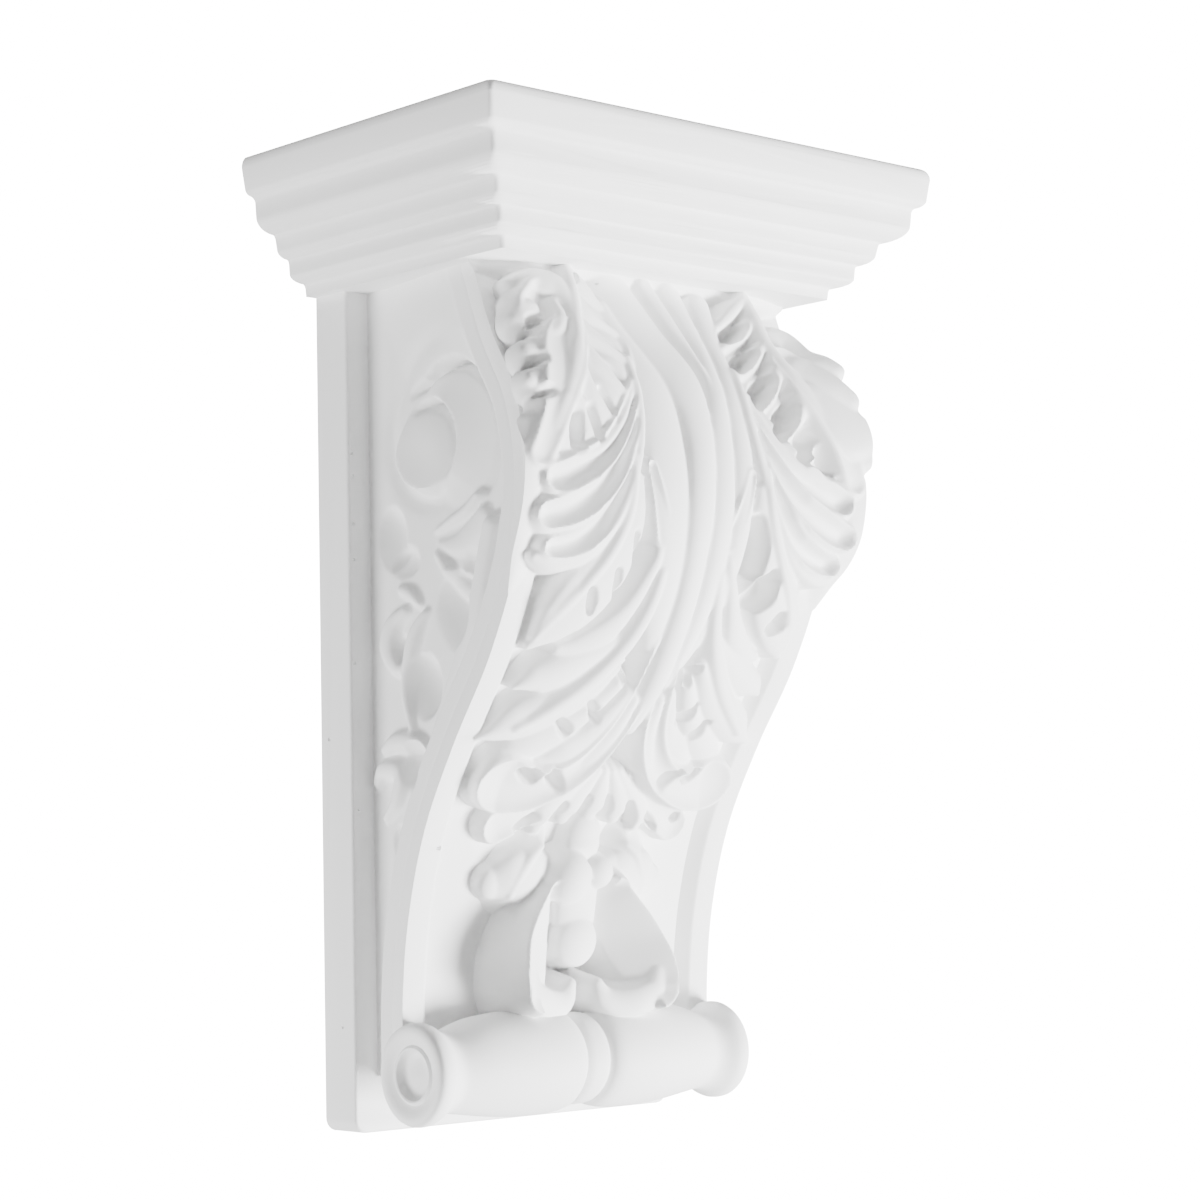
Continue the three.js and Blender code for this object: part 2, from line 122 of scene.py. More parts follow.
def on_s(down):
    """Place (y, z) and outward direction (y, z) of the sheet at a distance down the S."""
    y, z, ay, az = (np.interp(down, s_down, c) for c in (*s_line.T, *s_along.T))
    return y, z, az, -ay


print("the S is", round(float(s_length[-1]), 1), "mm long")

# %% [markdown]
# A leaf is drawn with strokes, as a gouge would cut it. A stroke runs along a smooth curve through
# a few points, each with its own height and half width. Its section is a bead, round on top, or a
# scoop, a hollow between two rims. Many strokes are joined by taking the highest, and drilled eyes
# by taking the lowest.


# %% Strokes
FALL = 2.6
LEAN = 9.0
LEAN_HEIGHT = 4.5
LEAN_START = 0.7 * HALF_BODY


def lean_at(high):
    """How far a place at the edge of the sheet leans out, which levels off for high places."""
    return LEAN * (1 - np.exp(-np.maximum(high, 0) / LEAN_HEIGHT))


def before_lean(out, high):
    """The place on the sheet that leans out to a given distance from the middle line."""
    share = lean_at(high) / (HALF_BODY - LEAN_START)
    return np.where(out > LEAN_START, (out + share * LEAN_START) / (1 + share), out)


def stroke(section, dip, points, tilt=0.0, fall=FALL, rim=0.0):
    line = smooth_curve(points, 8)
    line[:, 0] = before_lean(line[:, 0], line[:, 2])
    return section, dip, tilt, fall, rim, line


def bead(dip, *points, **more):
    return stroke("bead", dip, points, **more)


def scoop(dip, *points, **more):
    return stroke("scoop", dip, points, **more)


def along_stroke(line, out, down):
    """Distance from a stroke's line, on which side, and the height and half width there."""
    nearest = np.full(out.shape, np.inf)
    side = np.zeros(out.shape)
    high = np.zeros(out.shape)
    half = np.ones(out.shape)
    for a, b in zip(line[:-1], line[1:]):
        dx, dy = b[:2] - a[:2]
        size = dx * dx + dy * dy
        if size < 1e-9:
            continue
        px, py = out - a[0], down - a[1]
        share = np.clip((px * dx + py * dy) / size, 0, 1)
        distance = np.hypot(px - dx * share, py - dy * share)
        closer = distance < nearest
        nearest = np.where(closer, distance, nearest)
        side = np.where(closer, np.sign(dx * py - dy * px), side)
        high = np.where(closer, a[2] + (b[2] - a[2]) * share, high)
        half = np.where(closer, a[3] + (b[3] - a[3]) * share, half)
    return nearest, side, high, half


def stroke_height(one, out, down):
    section, dip, tilt, fall, rim, line = one
    nearest, side, high, half = along_stroke(line, out, down)
    x = np.minimum(nearest / half, 1)
    if section == "scoop":
        hollow = (1 - x * x) ** 0.8
    else:
        hollow = 1 - np.sqrt(1 - x * x)
    past = np.maximum(nearest - half - rim, 0) * fall
    return high - dip * hollow - past + tilt * side * x


# %% [markdown]
# A stroke changes only the part of the sheet that it can reach, so the rest is left out of the sum,
# which keeps a hundred strokes quick. A drilled eye is a slot with a round bottom and steep walls.

# %% Raise and drill
LOWEST = -8.0
DRILL = 4.0
EYE_BOWL = 1.6
EYE_HEIGHT = 9


def window(one, out, down):
    """The part of the sheet that a stroke can reach, as slices of its rows and columns."""
    _, _, tilt, fall, rim, line = one
    reach = rim + line[:, 3].max() + (line[:, 2].max() - LOWEST + abs(tilt)) / fall
    parts = []
    for places, along in ((down[:, 0], line[:, 1]), (out[0], line[:, 0])):
        hit = np.where((places > along.min() - reach) & (places < along.max() + reach))[0]
        if not len(hit):
            return None
        parts.append(slice(hit[0], hit[-1] + 1))
    return tuple(parts)


def raise_to(high, strokes, out, down):
    """Raises a height field to the highest of some strokes."""
    for one in strokes:
        place = window(one, out, down)
        if place:
            there = stroke_height(one, out[place], down[place])
            high[place] = np.maximum(high[place], there)
    return high


def drill(high, eyes, out, down):
    """Cuts slots into a height field: each is (out, down, turn, length, half width, floor)."""
    for eye_out, eye_down, turn, length, half, floor in eyes:
        run = np.array([math.sin(turn), math.cos(turn)]) * length / 2
        middle = np.array([before_lean(eye_out, EYE_HEIGHT), eye_down])
        ends = [(*(middle - run), 0, half * 0.4), (*middle, 0, half), (*(middle + run), 0, half * 0.7)]
        line = smooth_curve(ends, 5)
        nearest, _, _, wide = along_stroke(line, out, down)
        bowl = EYE_BOWL * np.minimum(nearest / wide, 1) ** 2
        high[...] = np.minimum(high, floor + bowl + np.maximum(nearest - wide, 0) * DRILL)
    return high


# %% [markdown]
# The middle of the front is a bundle of long reeds that lean a little to one side at the top, so
# they are drawn whole, while the leaves beside them are drawn on one half and used on both.

# %% Reeds down the middle
REEDS = [
    bead(3, (-24, 18, 9, 4), (-19, 31, 9, 5), (-14, 45, 8.5, 7), (-13, 62, 8.5, 8), (-11, 80, 8.5, 7.5),
         (-8.5, 96, 8, 6.5), (-7, 110, 7, 5), (-4, 124, 5, 3)),
    bead(3, (20, 12, 9, 5), (20, 32, 9, 4.2), (19, 50, 8.5, 4.5), (18.5, 75, 8.5, 4.5), (16, 95, 8, 4.5),
         (12, 112, 6.5, 4), (9, 124, 5, 3)),
    bead(3, (8, 8, 9, 5), (13, 27, 9, 3.6), (12, 44, 9, 4.2), (10, 60, 9, 5), (9.5, 80, 9, 4.8),
         (9, 97, 8.5, 4.4), (7.5, 114, 7.5, 3.6), (5, 130, 6, 2.5)),
    bead(3.5, (-17, 10, 9, 9), (-9, 27, 9.5, 9.5), (-1.5, 42, 10, 8), (0.5, 56, 10, 6.2), (0, 75, 10, 5.6),
         (0, 95, 9.5, 5), (0, 113, 9, 4.6), (0, 130, 8, 4.2), (-1, 146, 6, 3.4)),
    bead(2, (-3, 8, 9.5, 3.4), (5, 25, 9.5, 2.4), (10, 42, 9, 1.4)),
]

# %% [markdown]
# The leaves at each side come in tiers. The upper leaf has seven fingers that start at its rib, and
# each is given by three places. The eyes between the finger tips are drilled before the rim is laid
# over them. They are wide and deep on the right, and only slits on the left.


# %% The upper leaf
UPPER_BED = [
    bead(3, (33, 16, 7, 6), (29, 29, 7, 8), (33, 43, 7.5, 8.5), (44, 54, 8, 8), (55, 60, 9, 6)),
]
UPPER_FINGERS = [
    bead(2, (x0, s0, 12.8, 1.8), (x1, s1, 11.6, half), (x2, s2, 9.4, half * 0.7))
    for x0, s0, x1, s1, x2, s2, half in [
        (36, 10, 31, 14, 25, 19, 2.4),
        (38, 17, 31.5, 23, 22.5, 28.5, 2.4),
        (40.5, 25, 33.5, 32.5, 23.5, 39, 2.5),
        (43, 32.5, 37.5, 41, 28.5, 48.5, 2.6),
        (47, 40, 43.5, 49.5, 36, 57, 2.7),
        (51, 47, 50.5, 56, 44.5, 62.5, 2.8),
        (55, 53, 58.5, 61, 55, 66, 2.8),
    ]
]
LEFT_UPPER_BED = [
    bead(3, (32, 16, 9, 6), (27.6, 29, 9, 8), (31, 43, 9.2, 8.5), (42, 54, 9.8, 8), (52, 60, 10.4, 6)),
]
LEFT_UPPER_EYES = [
    (27, 23.4, -0.95, 6, 0.7, 6), (27.4, 33.6, -0.95, 7, 0.8, 6), (30, 43.4, -0.85, 7, 0.9, 5.6),
    (36.5, 51.6, -0.6, 7, 0.9, 5), (43, 58.2, -0.3, 8, 0.9, 4), (51.2, 61.2, 0, 9, 0.9, 4),
]
RIGHT_UPPER_EYES = [
    (28.5, 22, -0.95, 8, 1.9, 2.5), (29, 33, -0.95, 9, 2.2, 2.2), (32, 43, -0.85, 9, 2.5, 2),
    (38.5, 51, -0.7, 9, 2.7, 2), (46, 57, -0.45, 9, 2.7, 2.5), (54.5, 60.5, -0.1, 8, 2.5, 3.5),
]
UPPER_RIM = [
    bead(1.4, (25, 17, 9, 1), (21, 25, 9, 1.2), (19.6, 33, 9, 1.3), (21.6, 41, 9, 1.3),
         (26.4, 49.5, 9.2, 1.4), (33, 58, 9.4, 1.4), (41, 64, 9.8, 1.5), (50, 67, 10.2, 1.6),
         (58, 69, 10.2, 1.7), (65, 71, 9.4, 1.6)),
    bead(2, (37, 8, 12.6, 2.2), (38.6, 18, 13.6, 2.5), (40.5, 28, 13.4, 2.5), (43.6, 36.5, 13.4, 2.4),
         (48.2, 44, 13.2, 2.2), (52.8, 50.5, 12.8, 1.9), (56.5, 57, 12.2, 1.5)),
]
UPPER_OUTSIDE = [
    scoop(1.2, (44.5, 33, 12.4, 5), (50, 40, 12.8, 5), (54.4, 47, 13, 4.2), (59.2, 56, 12.6, 2.9),
          (63, 63, 11.8, 2.6), (65.6, 68, 10.6, 2.4), rim=0.8, fall=3.6),
]
TOP_ROLL = [bead(2, (0, 1, 8.8, 7), (30, 1, 9.6, 7), (46, 2, 8.8, 6), (55, 2.4, 6, 5), (63, 2, 2.4, 5))]

# %% [markdown]
# Outside its rib the upper leaf ends in another way on each side. On the right it breaks into three
# lobes, which stand out past the border. On the left it rolls up into a curl: a ribbon, a small
# dish with a crisp edge, a ball at its end, and two knobs below.

# %% The lobes and the curl
RIGHT_LOBES = [
    bead(2.2, (42, 30, 12, 4), (47, 22, 10, 5), (54, 22, 9.5, 5.5), (58, 28, 11.5, 5), (62, 32, 14, 4),
         (66, 35.5, 15, 3)),
    bead(2.2, (53, 35, 13, 5), (61, 41, 14.4, 4.4), (67, 44.6, 14.6, 3.2)),
    bead(2.2, (55, 44, 13, 6), (63, 52, 14, 7), (69, 57, 14, 6), (72, 60, 12.6, 4)),
]
CURL = [
    bead(3, (57, 13.4, 8.6, 2.4), (52, 12.6, 10.6, 3.6), (47, 12.8, 12, 4.2), (42.6, 15, 12.8, 4.2),
         (40, 21, 13.2, 3.6), (41, 28, 13.2, 2.8), (43.6, 35, 13, 2)),
    scoop(3.2, (48, 18, 11.4, 4.4), (51, 23, 11.4, 5.4), (54, 28, 11, 3.6), rim=1.2),
    bead(2.2, (45.4, 20, 11.4, 1.6), (45.8, 27, 12.6, 2), (49.6, 33, 12.6, 2.2), (55, 35, 12, 2)),
    bead(3, (56.6, 23.6, 11.4, 4), (59, 27.6, 11, 4)),
    bead(2.6, (53, 41, 11, 3), (58, 39.6, 11.8, 4.4), (61.4, 39.8, 11, 3.6)),
    bead(2.6, (56.6, 48, 11, 3), (61.4, 47.4, 11.6, 3.6), (64.4, 47.8, 10.8, 2.6)),
]
CURL_EYES = [
    (55, 28.6, 0.9, 4, 1.5, 6), (60.6, 33.4, 1.0, 5, 1.2, 4), (63, 43.6, 1.2, 4, 0.8, 5),
    (62.4, 52, 1.3, 4, 0.7, 6),
]

# %% [markdown]
# The middle leaf is a bed with three long channels that sweep out to the edge. The rims between
# them are beads, and one bead runs along the outer edge and sinks into the border.

# %% The middle leaf
MIDDLE_BED = [
    bead(2.6, (26, 72, 8.5, 3), (28, 82, 9, 6), (33, 93, 9.2, 8.4), (38.5, 102, 8.8, 9),
         (43.5, 110, 7.6, 7.5), (48.5, 116.5, 5.4, 4.6), (52, 121, 3, 2)),
    bead(2, (12, 76, 3, 1), (14.6, 90, 8, 1.8), (18, 99, 8.4, 2.4), (22, 107, 8.2, 3), (27, 114, 7.4, 4),
         (35, 120, 5.4, 3.4), (41, 121.5, 4, 2)),
    bead(4, (30, 58, 5, 9), (42, 72, 6, 12), (56, 82, 6.5, 12)),
]
MIDDLE_LEAF = [
    scoop(4, (24, 47, 9.5, 1.4), (31, 56.5, 10, 2.5), (38.5, 64, 10.8, 3.1), (45.5, 68.6, 11.2, 3.3),
          (53, 71.8, 11.2, 3.4), (59.5, 73.4, 10.8, 3), rim=0.7),
    scoop(4, (26, 56, 9, 1.2), (33.4, 67.4, 10, 2.4), (41, 74.2, 11, 3), (48.5, 78.4, 11.4, 3.3),
          (55.5, 81.2, 11.2, 3.4), (61.5, 82.6, 10.6, 3.1), rim=0.7),
    scoop(4, (27.5, 64, 8.8, 1.1), (33, 75, 9.6, 2), (38.4, 82, 10.2, 2.6), (44.5, 86.8, 10.4, 2.8),
          (51, 89.6, 10.2, 2.9), (57.5, 91, 9.6, 2.5), rim=0.7),
    bead(1.6, (65.4, 60, 11, 2.4), (67.4, 66, 10, 3), (69.5, 74, 9, 3.4), (69, 83, 7.8, 3.4),
         (67.4, 91, 5.4, 3), (65.5, 98, 2.6, 2.6), (64, 105, 0.5, 2)),
    bead(1.6, (22.5, 38, 9.6, 1.7), (22.8, 50, 9.6, 1.8), (25, 62, 9.4, 1.8), (29, 73, 9.4, 1.8),
         (35, 83, 9.6, 1.8), (42, 90.6, 9.4, 1.9), (51, 95, 9, 2), (57, 95.6, 8.6, 2), (62, 94, 7.6, 2)),
    bead(1.6, (27.5, 66, 9.4, 1.5), (30, 80, 10, 1.8), (35.5, 91, 10.4, 1.8), (42, 100, 9.6, 1.7),
         (48, 109, 7.6, 1.5), (52, 118, 4.6, 1.2)),
    scoop(2.6, (21, 68, 9, 1.2), (17.6, 77, 8.8, 2), (14, 86, 8, 2.4), rim=0.6),
]
LEFT_MIDDLE_EYES = [
    (24.6, 91, -0.23, 10, 0.9, 3), (29.8, 100.3, -0.3, 8, 1, 3), (38.6, 105, -0.32, 6, 1, 3),
]
RIGHT_MIDDLE_EYES = [
    (24.5, 87, 0.05, 13, 3.4, 1), (31.6, 99.4, -0.55, 9, 3.8, 1), (42.5, 108.6, -0.9, 6, 2.8, 2),
]

# %% [markdown]
# The lower leaf has five lobes, each fuller than the last towards the edge, and a low rib runs over
# them. Its lobes end above the panel's ground, where they cast the darkest shadows of the front.

# %% The lower leaf
LOWER_LEAF = [
    bead(5, (19, 116, 6.6, 3), (28, 122, 6.4, 5.4), (38, 128.6, 5.6, 6.4), (45.6, 132, 4.2, 5),
         (51, 135, 2, 2), fall=2.4),
    bead(5.4, (17, 124, 6.8, 3), (27, 134.6, 6.6, 6), (38, 142, 5.8, 7.6), (48, 148.4, 4.2, 6.2),
         (56.4, 153, 1.2, 2), fall=2.4),
    bead(4.4, (14, 130, 6.8, 3), (23.6, 143.4, 6.2, 4.8), (33, 151.6, 5.2, 6), (41.4, 157.6, 3.6, 5),
         (48, 161, 1.4, 2), fall=2.6),
    bead(3, (9, 134, 6.6, 2.6), (15.4, 149, 6.4, 5), (23, 156, 6, 5.6), (29.8, 160, 4, 3.6), fall=3.4),
    bead(3, (5.4, 136, 6.6, 2), (7.6, 150, 6.2, 3.8), (11.6, 158.4, 5.6, 4.4), (17.8, 163.4, 3.8, 3),
         fall=3.4),
    bead(1.6, (12, 96, 8.4, 1.8), (14.4, 108, 8.8, 2.2), (19.4, 119, 8.8, 2.4), (27, 129.4, 8.4, 2.4),
         (36.4, 138.4, 7.8, 2.2), (46, 147, 6, 1.6), fall=1.4),
]
LOWER_EYES = [
    (19.6, 140.4, -0.7, 7, 1.2, 0.5), (28.4, 146.2, -0.85, 7, 1.3, 0), (24, 164, -0.9, 5, 1.4, -3),
    (34.4, 163.4, -1.2, 5, 1.5, -3), (14.6, 127, -0.5, 6, 1, 2),
]

# %% [markdown]
# Under the leaves, a stem sweeps out to each side with little petals below it, and a pendant of
# two straps, a bud, two berries and a short stem hangs down to the roll. The left strap is turned
# away from the light, and lower than the right one.

# %% Stem, petals and pendant
PETALS = [
    bead(2.6, (out * 0.3, 164, 2, 2), (out * 0.9, down - 5, 3.6, half), (out, down, 2, half * 0.7),
         fall=5)
    for out, down, half in [(0, 178.6, 4.3), (10.6, 179.6, 4.2), (20.4, 182.4, 4.3)]
]
PETAL_EYES = [
    (5.5, 177, 0.3, 9, 0.7, -3.5), (15.8, 178.6, 0.5, 9, 0.8, -3.5), (26, 181, 0.9, 7, 0.8, -3.5),
]
LOW_LOBE = [scoop(1.6, (12, 168, 2, 3), (24, 176, 2.6, 4.2), (36.5, 182.4, 1.6, 5), rim=0.8, fall=5)]
BIG_STEM = [
    scoop(2.8, (1, 100, 6, 1.4), (3.4, 120, 6.6, 2), (6, 140, 7, 3), (11, 153, 7.4, 3.8),
          (18.6, 162, 7.4, 4.4), (28, 166.6, 7.2, 5.4), (35, 167.6, 6.4, 7), (41.5, 166.8, 5, 8.6),
          rim=0.9, fall=4),
]
OVALS = [
    bead(3.4, (15, 198, 3.6, 6.6), (20, 197.8, 4.6, 8), (26.6, 199.2, 4.4, 8), (32.4, 200.8, 2, 5.4),
         fall=5),
    bead(1.2, (18, 188.6, 3.6, 1.2), (22, 192, 4.8, 1.6), (25.4, 198, 5, 1.8), (27, 204, 3.8, 1.4),
         fall=1.2),
]


def strap(wide, tall):
    """A strap that widens towards the foot, its raised outer rim, and its end curled over the roll."""
    def places(*rows):
        return [(out * wide, down, high * tall, half) for out, down, high, half in rows]

    return [
        bead(0.4, *places((12.6, 202, 4.6, 4.6), (15.4, 210, 7.6, 7.6), (19, 218, 10.8, 8.8),
             (22, 226, 15, 8.4), (23, 233, 17, 7.4)), tilt=-5.5, fall=4.5),
        bead(1, *places((16.4, 203.4, 6, 1), (22.4, 207, 8.4, 1.1), (26.4, 213, 11.4, 1.2),
             (28.2, 220, 15, 1.3), (28, 228, 18.8, 1.8)), fall=9),
        bead(3, *places((26.6, 229, 18.6, 4), (24.6, 234.4, 19.4, 5.2), (18, 237.6, 18.4, 5.4),
             (11.4, 238, 16.4, 5), (6.8, 236, 14.8, 4.2), (4.4, 232, 13.4, 2.6)), fall=9),
    ]


MIDDLE_PENDANT = [
    bead(5, (0, 185.6, 3.8, 7), (0, 188.4, 4.6, 7.4), fall=7),
    bead(4, (0, 202, 6.2, 8.2), (0, 211, 6.6, 8.4), fall=7),
    bead(5.4, (0, 218.6, 9, 8.6), (0.2, 219, 9, 8.6), fall=7),
    bead(5, (6, 196.6, 8.6, 5.4), (6.2, 197, 8.6, 5.4), fall=8),
    bead(7, (-6, 198, 11, 8), (-6.2, 198.4, 11, 8), fall=8),
]

# %% [markdown]
# Air bubbles in the wet plaster leave pinholes in the casting. They are drilled like the eyes but
# much smaller, most of them where the photograph shows one, and each border gets a nick.

# %% Pinholes in the front
LEFT_PINHOLES = [
    (22.9, 9.9, 0, 0.3, 0.6, 6.5), (35.2, 11.4, 0.2, 2.4, 0.5, 8), (35.2, 16.4, 0, 0.3, 0.5, 9),
    (26.3, 51.8, 0, 0.3, 0.6, 6), (61.2, 189.4, 1.2, 1.5, 0.5, -1.4),
]
RIGHT_PINHOLES = [(37.2, 180.2, 0, 0.3, 0.6, -7.6), (57.5, 150, 0.4, 1.2, 0.5, -1.6)]

# %% [markdown]
# The sheet is worked out on a fine grid. The ground of the panel lies below its border, and comes up
# to it just above the roll. A light smoothing rounds every rim of the carving a little, because a
# plaster cast has no sharp edges.

# %% The height of the front
SHEET_STEP = 0.5
BORDER_WIDTH = 8.0
BORDER_SLOPE = 5.6
PANEL_SINK = 6.0
PANEL_END = 243.0
PANEL_RISE = 4.0
LEFT_STRAP = (0.9, 0.74)
RIGHT_STRAP = (1, 1)


def ramp(x, start, stop):
    return np.clip((x - start) / (stop - start), 0, 1)


def soften(high, times):
    """A light blur with the weights 1, 2, 1 along rows and columns."""
    for _ in range(times):
        wide = np.pad(high, 1, mode="edge")
        high = (wide[:-2] + 2 * wide[1:-1] + wide[2:]) / 4
        high = (high[:, :-2] + 2 * high[:, 1:-1] + high[:, 2:]) / 4
    return high


columns = round(BODY_WIDTH / SHEET_STEP)
rows = round(SHEET_END / SHEET_STEP)
sheet_down, sheet_out = np.meshgrid(
    np.linspace(0, SHEET_END, rows + 1), np.linspace(-HALF_BODY, HALF_BODY, columns + 1), indexing="ij")
mirrored = np.abs(sheet_out)
above_roll = 1 - ramp(sheet_down, PANEL_END, PANEL_END + PANEL_RISE)
inside_border = ramp(HALF_BODY - mirrored, BORDER_WIDTH, BORDER_WIDTH + BORDER_SLOPE)
front_high = -PANEL_SINK * inside_border * above_roll


# %% [markdown]
# Now the carving is laid on, from the lowest tier to the highest. Most tiers go on both halves, and
# the ones that differ go on one. The pinholes come last, so that the smoothing doesn't fill them.


# %% Lay on the carving
def on_side(high, side, strokes, eyes=()):
    """Lays a tier on one half of the sheet: side is 1 for the right and -1 for the left."""
    half = columns // 2
    view = high[:, ::side][:, half:]
    raise_to(view, strokes, mirrored[:, half:], sheet_down[:, half:])
    if eyes:
        drill(view, eyes, mirrored[:, half:], sheet_down[:, half:])


def both_sides(high, strokes, eyes=()):
    for side in (1, -1):
        on_side(high, side, strokes, eyes)


both_sides(front_high, LOW_LOBE + PETALS, PETAL_EYES)
both_sides(front_high, OVALS)
on_side(front_high, -1, strap(*LEFT_STRAP))
on_side(front_high, 1, strap(*RIGHT_STRAP))
raise_to(front_high, MIDDLE_PENDANT, sheet_out, sheet_down)
both_sides(front_high, BIG_STEM)
both_sides(front_high, LOWER_LEAF, LOWER_EYES)
on_side(front_high, -1, MIDDLE_BED + MIDDLE_LEAF, LEFT_MIDDLE_EYES)
on_side(front_high, 1, MIDDLE_BED, RIGHT_MIDDLE_EYES)
on_side(front_high, 1, MIDDLE_LEAF)
on_side(front_high, -1, LEFT_UPPER_BED + UPPER_FINGERS, LEFT_UPPER_EYES)
on_side(front_high, 1, UPPER_BED + UPPER_FINGERS, RIGHT_UPPER_EYES)
both_sides(front_high, TOP_ROLL + UPPER_RIM + UPPER_OUTSIDE)
on_side(front_high, -1, CURL, CURL_EYES)
on_side(front_high, 1, RIGHT_LOBES)
raise_to(front_high, REEDS, sheet_out, sheet_down)
front_high = soften(front_high, 1)
on_side(front_high, -1, [], LEFT_PINHOLES)
on_side(front_high, 1, [], RIGHT_PINHOLES)
print("the carving runs from", round(front_high.min(), 1), "to", round(front_high.max(), 1), "mm")

# %% [markdown]
# The carved front is one closed slab. A grid is bent over the S by moving its vertices, its first
# and last columns are welded under the surface, and its two open ends are filled. Near the border
# what stands high also leans out, as the leaf rims do on the real piece, and the foot of the slab
# is drawn in, so that it stays inside the disc at the end of the roll.

# %% Bend the sheet over the S
SLAB_SIDES = (0.8, 2, 4.6)
SLAB_BACK = 11.0
SLAB_BACK_INSET = 4.0
FOOT_NARROWING = 0.12
NARROWED_WITHIN = 9
NORMAL_BEYOND = 13
WELD = 1e-4


def on_front(out, down, high):
    y, z, ny, nz = on_s(down)
    lean = lean_at(high) * ramp(np.abs(out), LEAN_START, HALF_BODY) * np.sign(out)
    return np.stack([out + lean, y + ny * high, z + nz * high], -1)


def grid_mesh(name, places):
    """A grid whose vertices are moved to a field of places, each (x, y, z) in millimetres."""
    tall, wide = places.shape[:2]
    bm = bmesh.new()
    bmesh.ops.create_grid(bm, x_segments=wide - 1, y_segments=tall - 1, size=1)
    mesh = bpy.data.meshes.new(name)
    bm.to_mesh(mesh)
    bm.free()
    flat = np.zeros(tall * wide * 3)
    mesh.vertices.foreach_get("co", flat)
    grid = flat.reshape(-1, 3)
    column = np.rint((grid[:, 0] + 1) / 2 * (wide - 1)).astype(int)
    row = np.rint((1 - grid[:, 1]) / 2 * (tall - 1)).astype(int)
    mesh.vertices.foreach_set("co", places[row, column].reshape(-1))
    return mesh


def close_tube(mesh):
    """Welds the first and last columns and fills the two ends."""
    bm = bmesh.new()
    bm.from_mesh(mesh)
    bmesh.ops.remove_doubles(bm, verts=bm.verts, dist=WELD)
    open_edges = [e for e in bm.edges if e.is_boundary]
    bmesh.ops.holes_fill(bm, edges=open_edges, sides=0)
    bmesh.ops.triangulate(bm, faces=[f for f in bm.faces if len(f.verts) > 4])
    bmesh.ops.recalc_face_normals(bm, faces=bm.faces)
    loose = sum(not e.is_manifold for e in bm.edges)
    print(mesh.name, "has", len(bm.faces), "faces and", loose, "open edges")
    bm.to_mesh(mesh)
    bm.free()


def add_object(name, mesh):
    thing = bpy.data.objects.new(name, mesh)
    bpy.context.scene.collection.objects.link(thing)
    return thing


def column_at(out, high):
    down = sheet_down[:, 0]
    y, z, ny, nz = on_s(down)
    return np.stack([np.full(down.shape, out), y + ny * high, z + nz * high], -1)[:, None]


def narrow_in_roll(places):
    """Draws the foot of a sheet in, so that it stays inside the disc at the roll's end."""
    from_axis = np.hypot(places[..., 1] + ROLL_AXIS_DEPTH, places[..., 2] - FOOT - ROLL_AXIS_RISE)
    places[..., 0] *= 1 - FOOT_NARROWING * (1 - ramp(from_axis, NARROWED_WITHIN, NORMAL_BEYOND))


front = on_front(sheet_out, sheet_down, front_high)
right_side = [column_at(HALF_BODY, -h) for h in SLAB_SIDES]
left_side = [column_at(-HALF_BODY, -h) for h in SLAB_SIDES[::-1]]
back_middle = column_at(0, -SLAB_BACK)
back_left = column_at(-HALF_BODY + SLAB_BACK_INSET, -SLAB_BACK)
back_right = column_at(HALF_BODY - SLAB_BACK_INSET, -SLAB_BACK)
slab = np.concatenate(
    [back_middle, back_left, *left_side, front, *right_side, back_right, back_middle], axis=1)
narrow_in_roll(slab)
front_mesh = grid_mesh("carved_front", slab * MM)
close_tube(front_mesh)
carved_front = add_object("carved_front", front_mesh)

# %% [markdown]
# The cheeks are drawn in the same way, on sheets that lie flat: how far from the wall and how high
# up. A raised band with a fine line along it follows the front edge. Behind it the ground lies
# lower, and comes up towards the crown.


# %% A sheet for the cheek
BAND_WIDTH = 11.5
BAND_SLOPE = 2.2
BAND_HIGH = -0.7
BAND_LINE = 5.0
LINE_DEPTH = 0.5
LINE_WIDTH = 0.8
CHEEK_SINK = 7.0
TOP_RISE = 6.0
CHEEK_COLUMNS = 116
BODY_INSET = 4.0
BODY_STEP = 0.7


def round_bump(distance, width):
    """A smooth bump that is 1 at distance 0 and falls away within a width or two."""
    return np.exp(-(distance / width) ** 2)


body_rows = round(SHEET_END / BODY_STEP)
body_down = np.linspace(0, SHEET_END, body_rows + 1)
edge_y, edge_z, edge_ny, edge_nz = on_s(body_down)
edge_y = edge_y - edge_ny * BODY_INSET
edge_z = edge_z - edge_nz * BODY_INSET
back_y = -PLATE_THICKNESS / 2
near_edge = np.linspace(0, 1, CHEEK_COLUMNS) ** 1.1
cheek_depth = -(edge_y[:, None] + (back_y - edge_y)[:, None] * near_edge)
cheek_rise = np.repeat(edge_z[:, None], CHEEK_COLUMNS, axis=1)
s_stroke = np.column_stack([-s_line[:, 0], s_line[:, 1], np.zeros(len(s_line)), np.ones(len(s_line))])
from_edge = along_stroke(s_stroke[::6], cheek_depth, cheek_rise)[0]

upper = ramp(cheek_rise, 60, 90)
cheek_high = -CHEEK_SINK + TOP_RISE * upper * (1 - ramp(from_edge, BAND_WIDTH, 50))
on_band = 1 - ramp(from_edge, BAND_WIDTH, BAND_WIDTH + BAND_SLOPE)
cheek_high = cheek_high + (BAND_HIGH - cheek_high) * on_band
cheek_high -= LINE_DEPTH * round_bump(from_edge - BAND_LINE, LINE_WIDTH)

# %% [markdown]
# The scroll is a snail shell. Each turn of it slopes up towards the eye and then drops at a crisp
# wall into the next turn, so it is described by the angle around the eye and the distance from it.
# Under the wall's upper right runs a groove, and a soft valley leads round the other side.

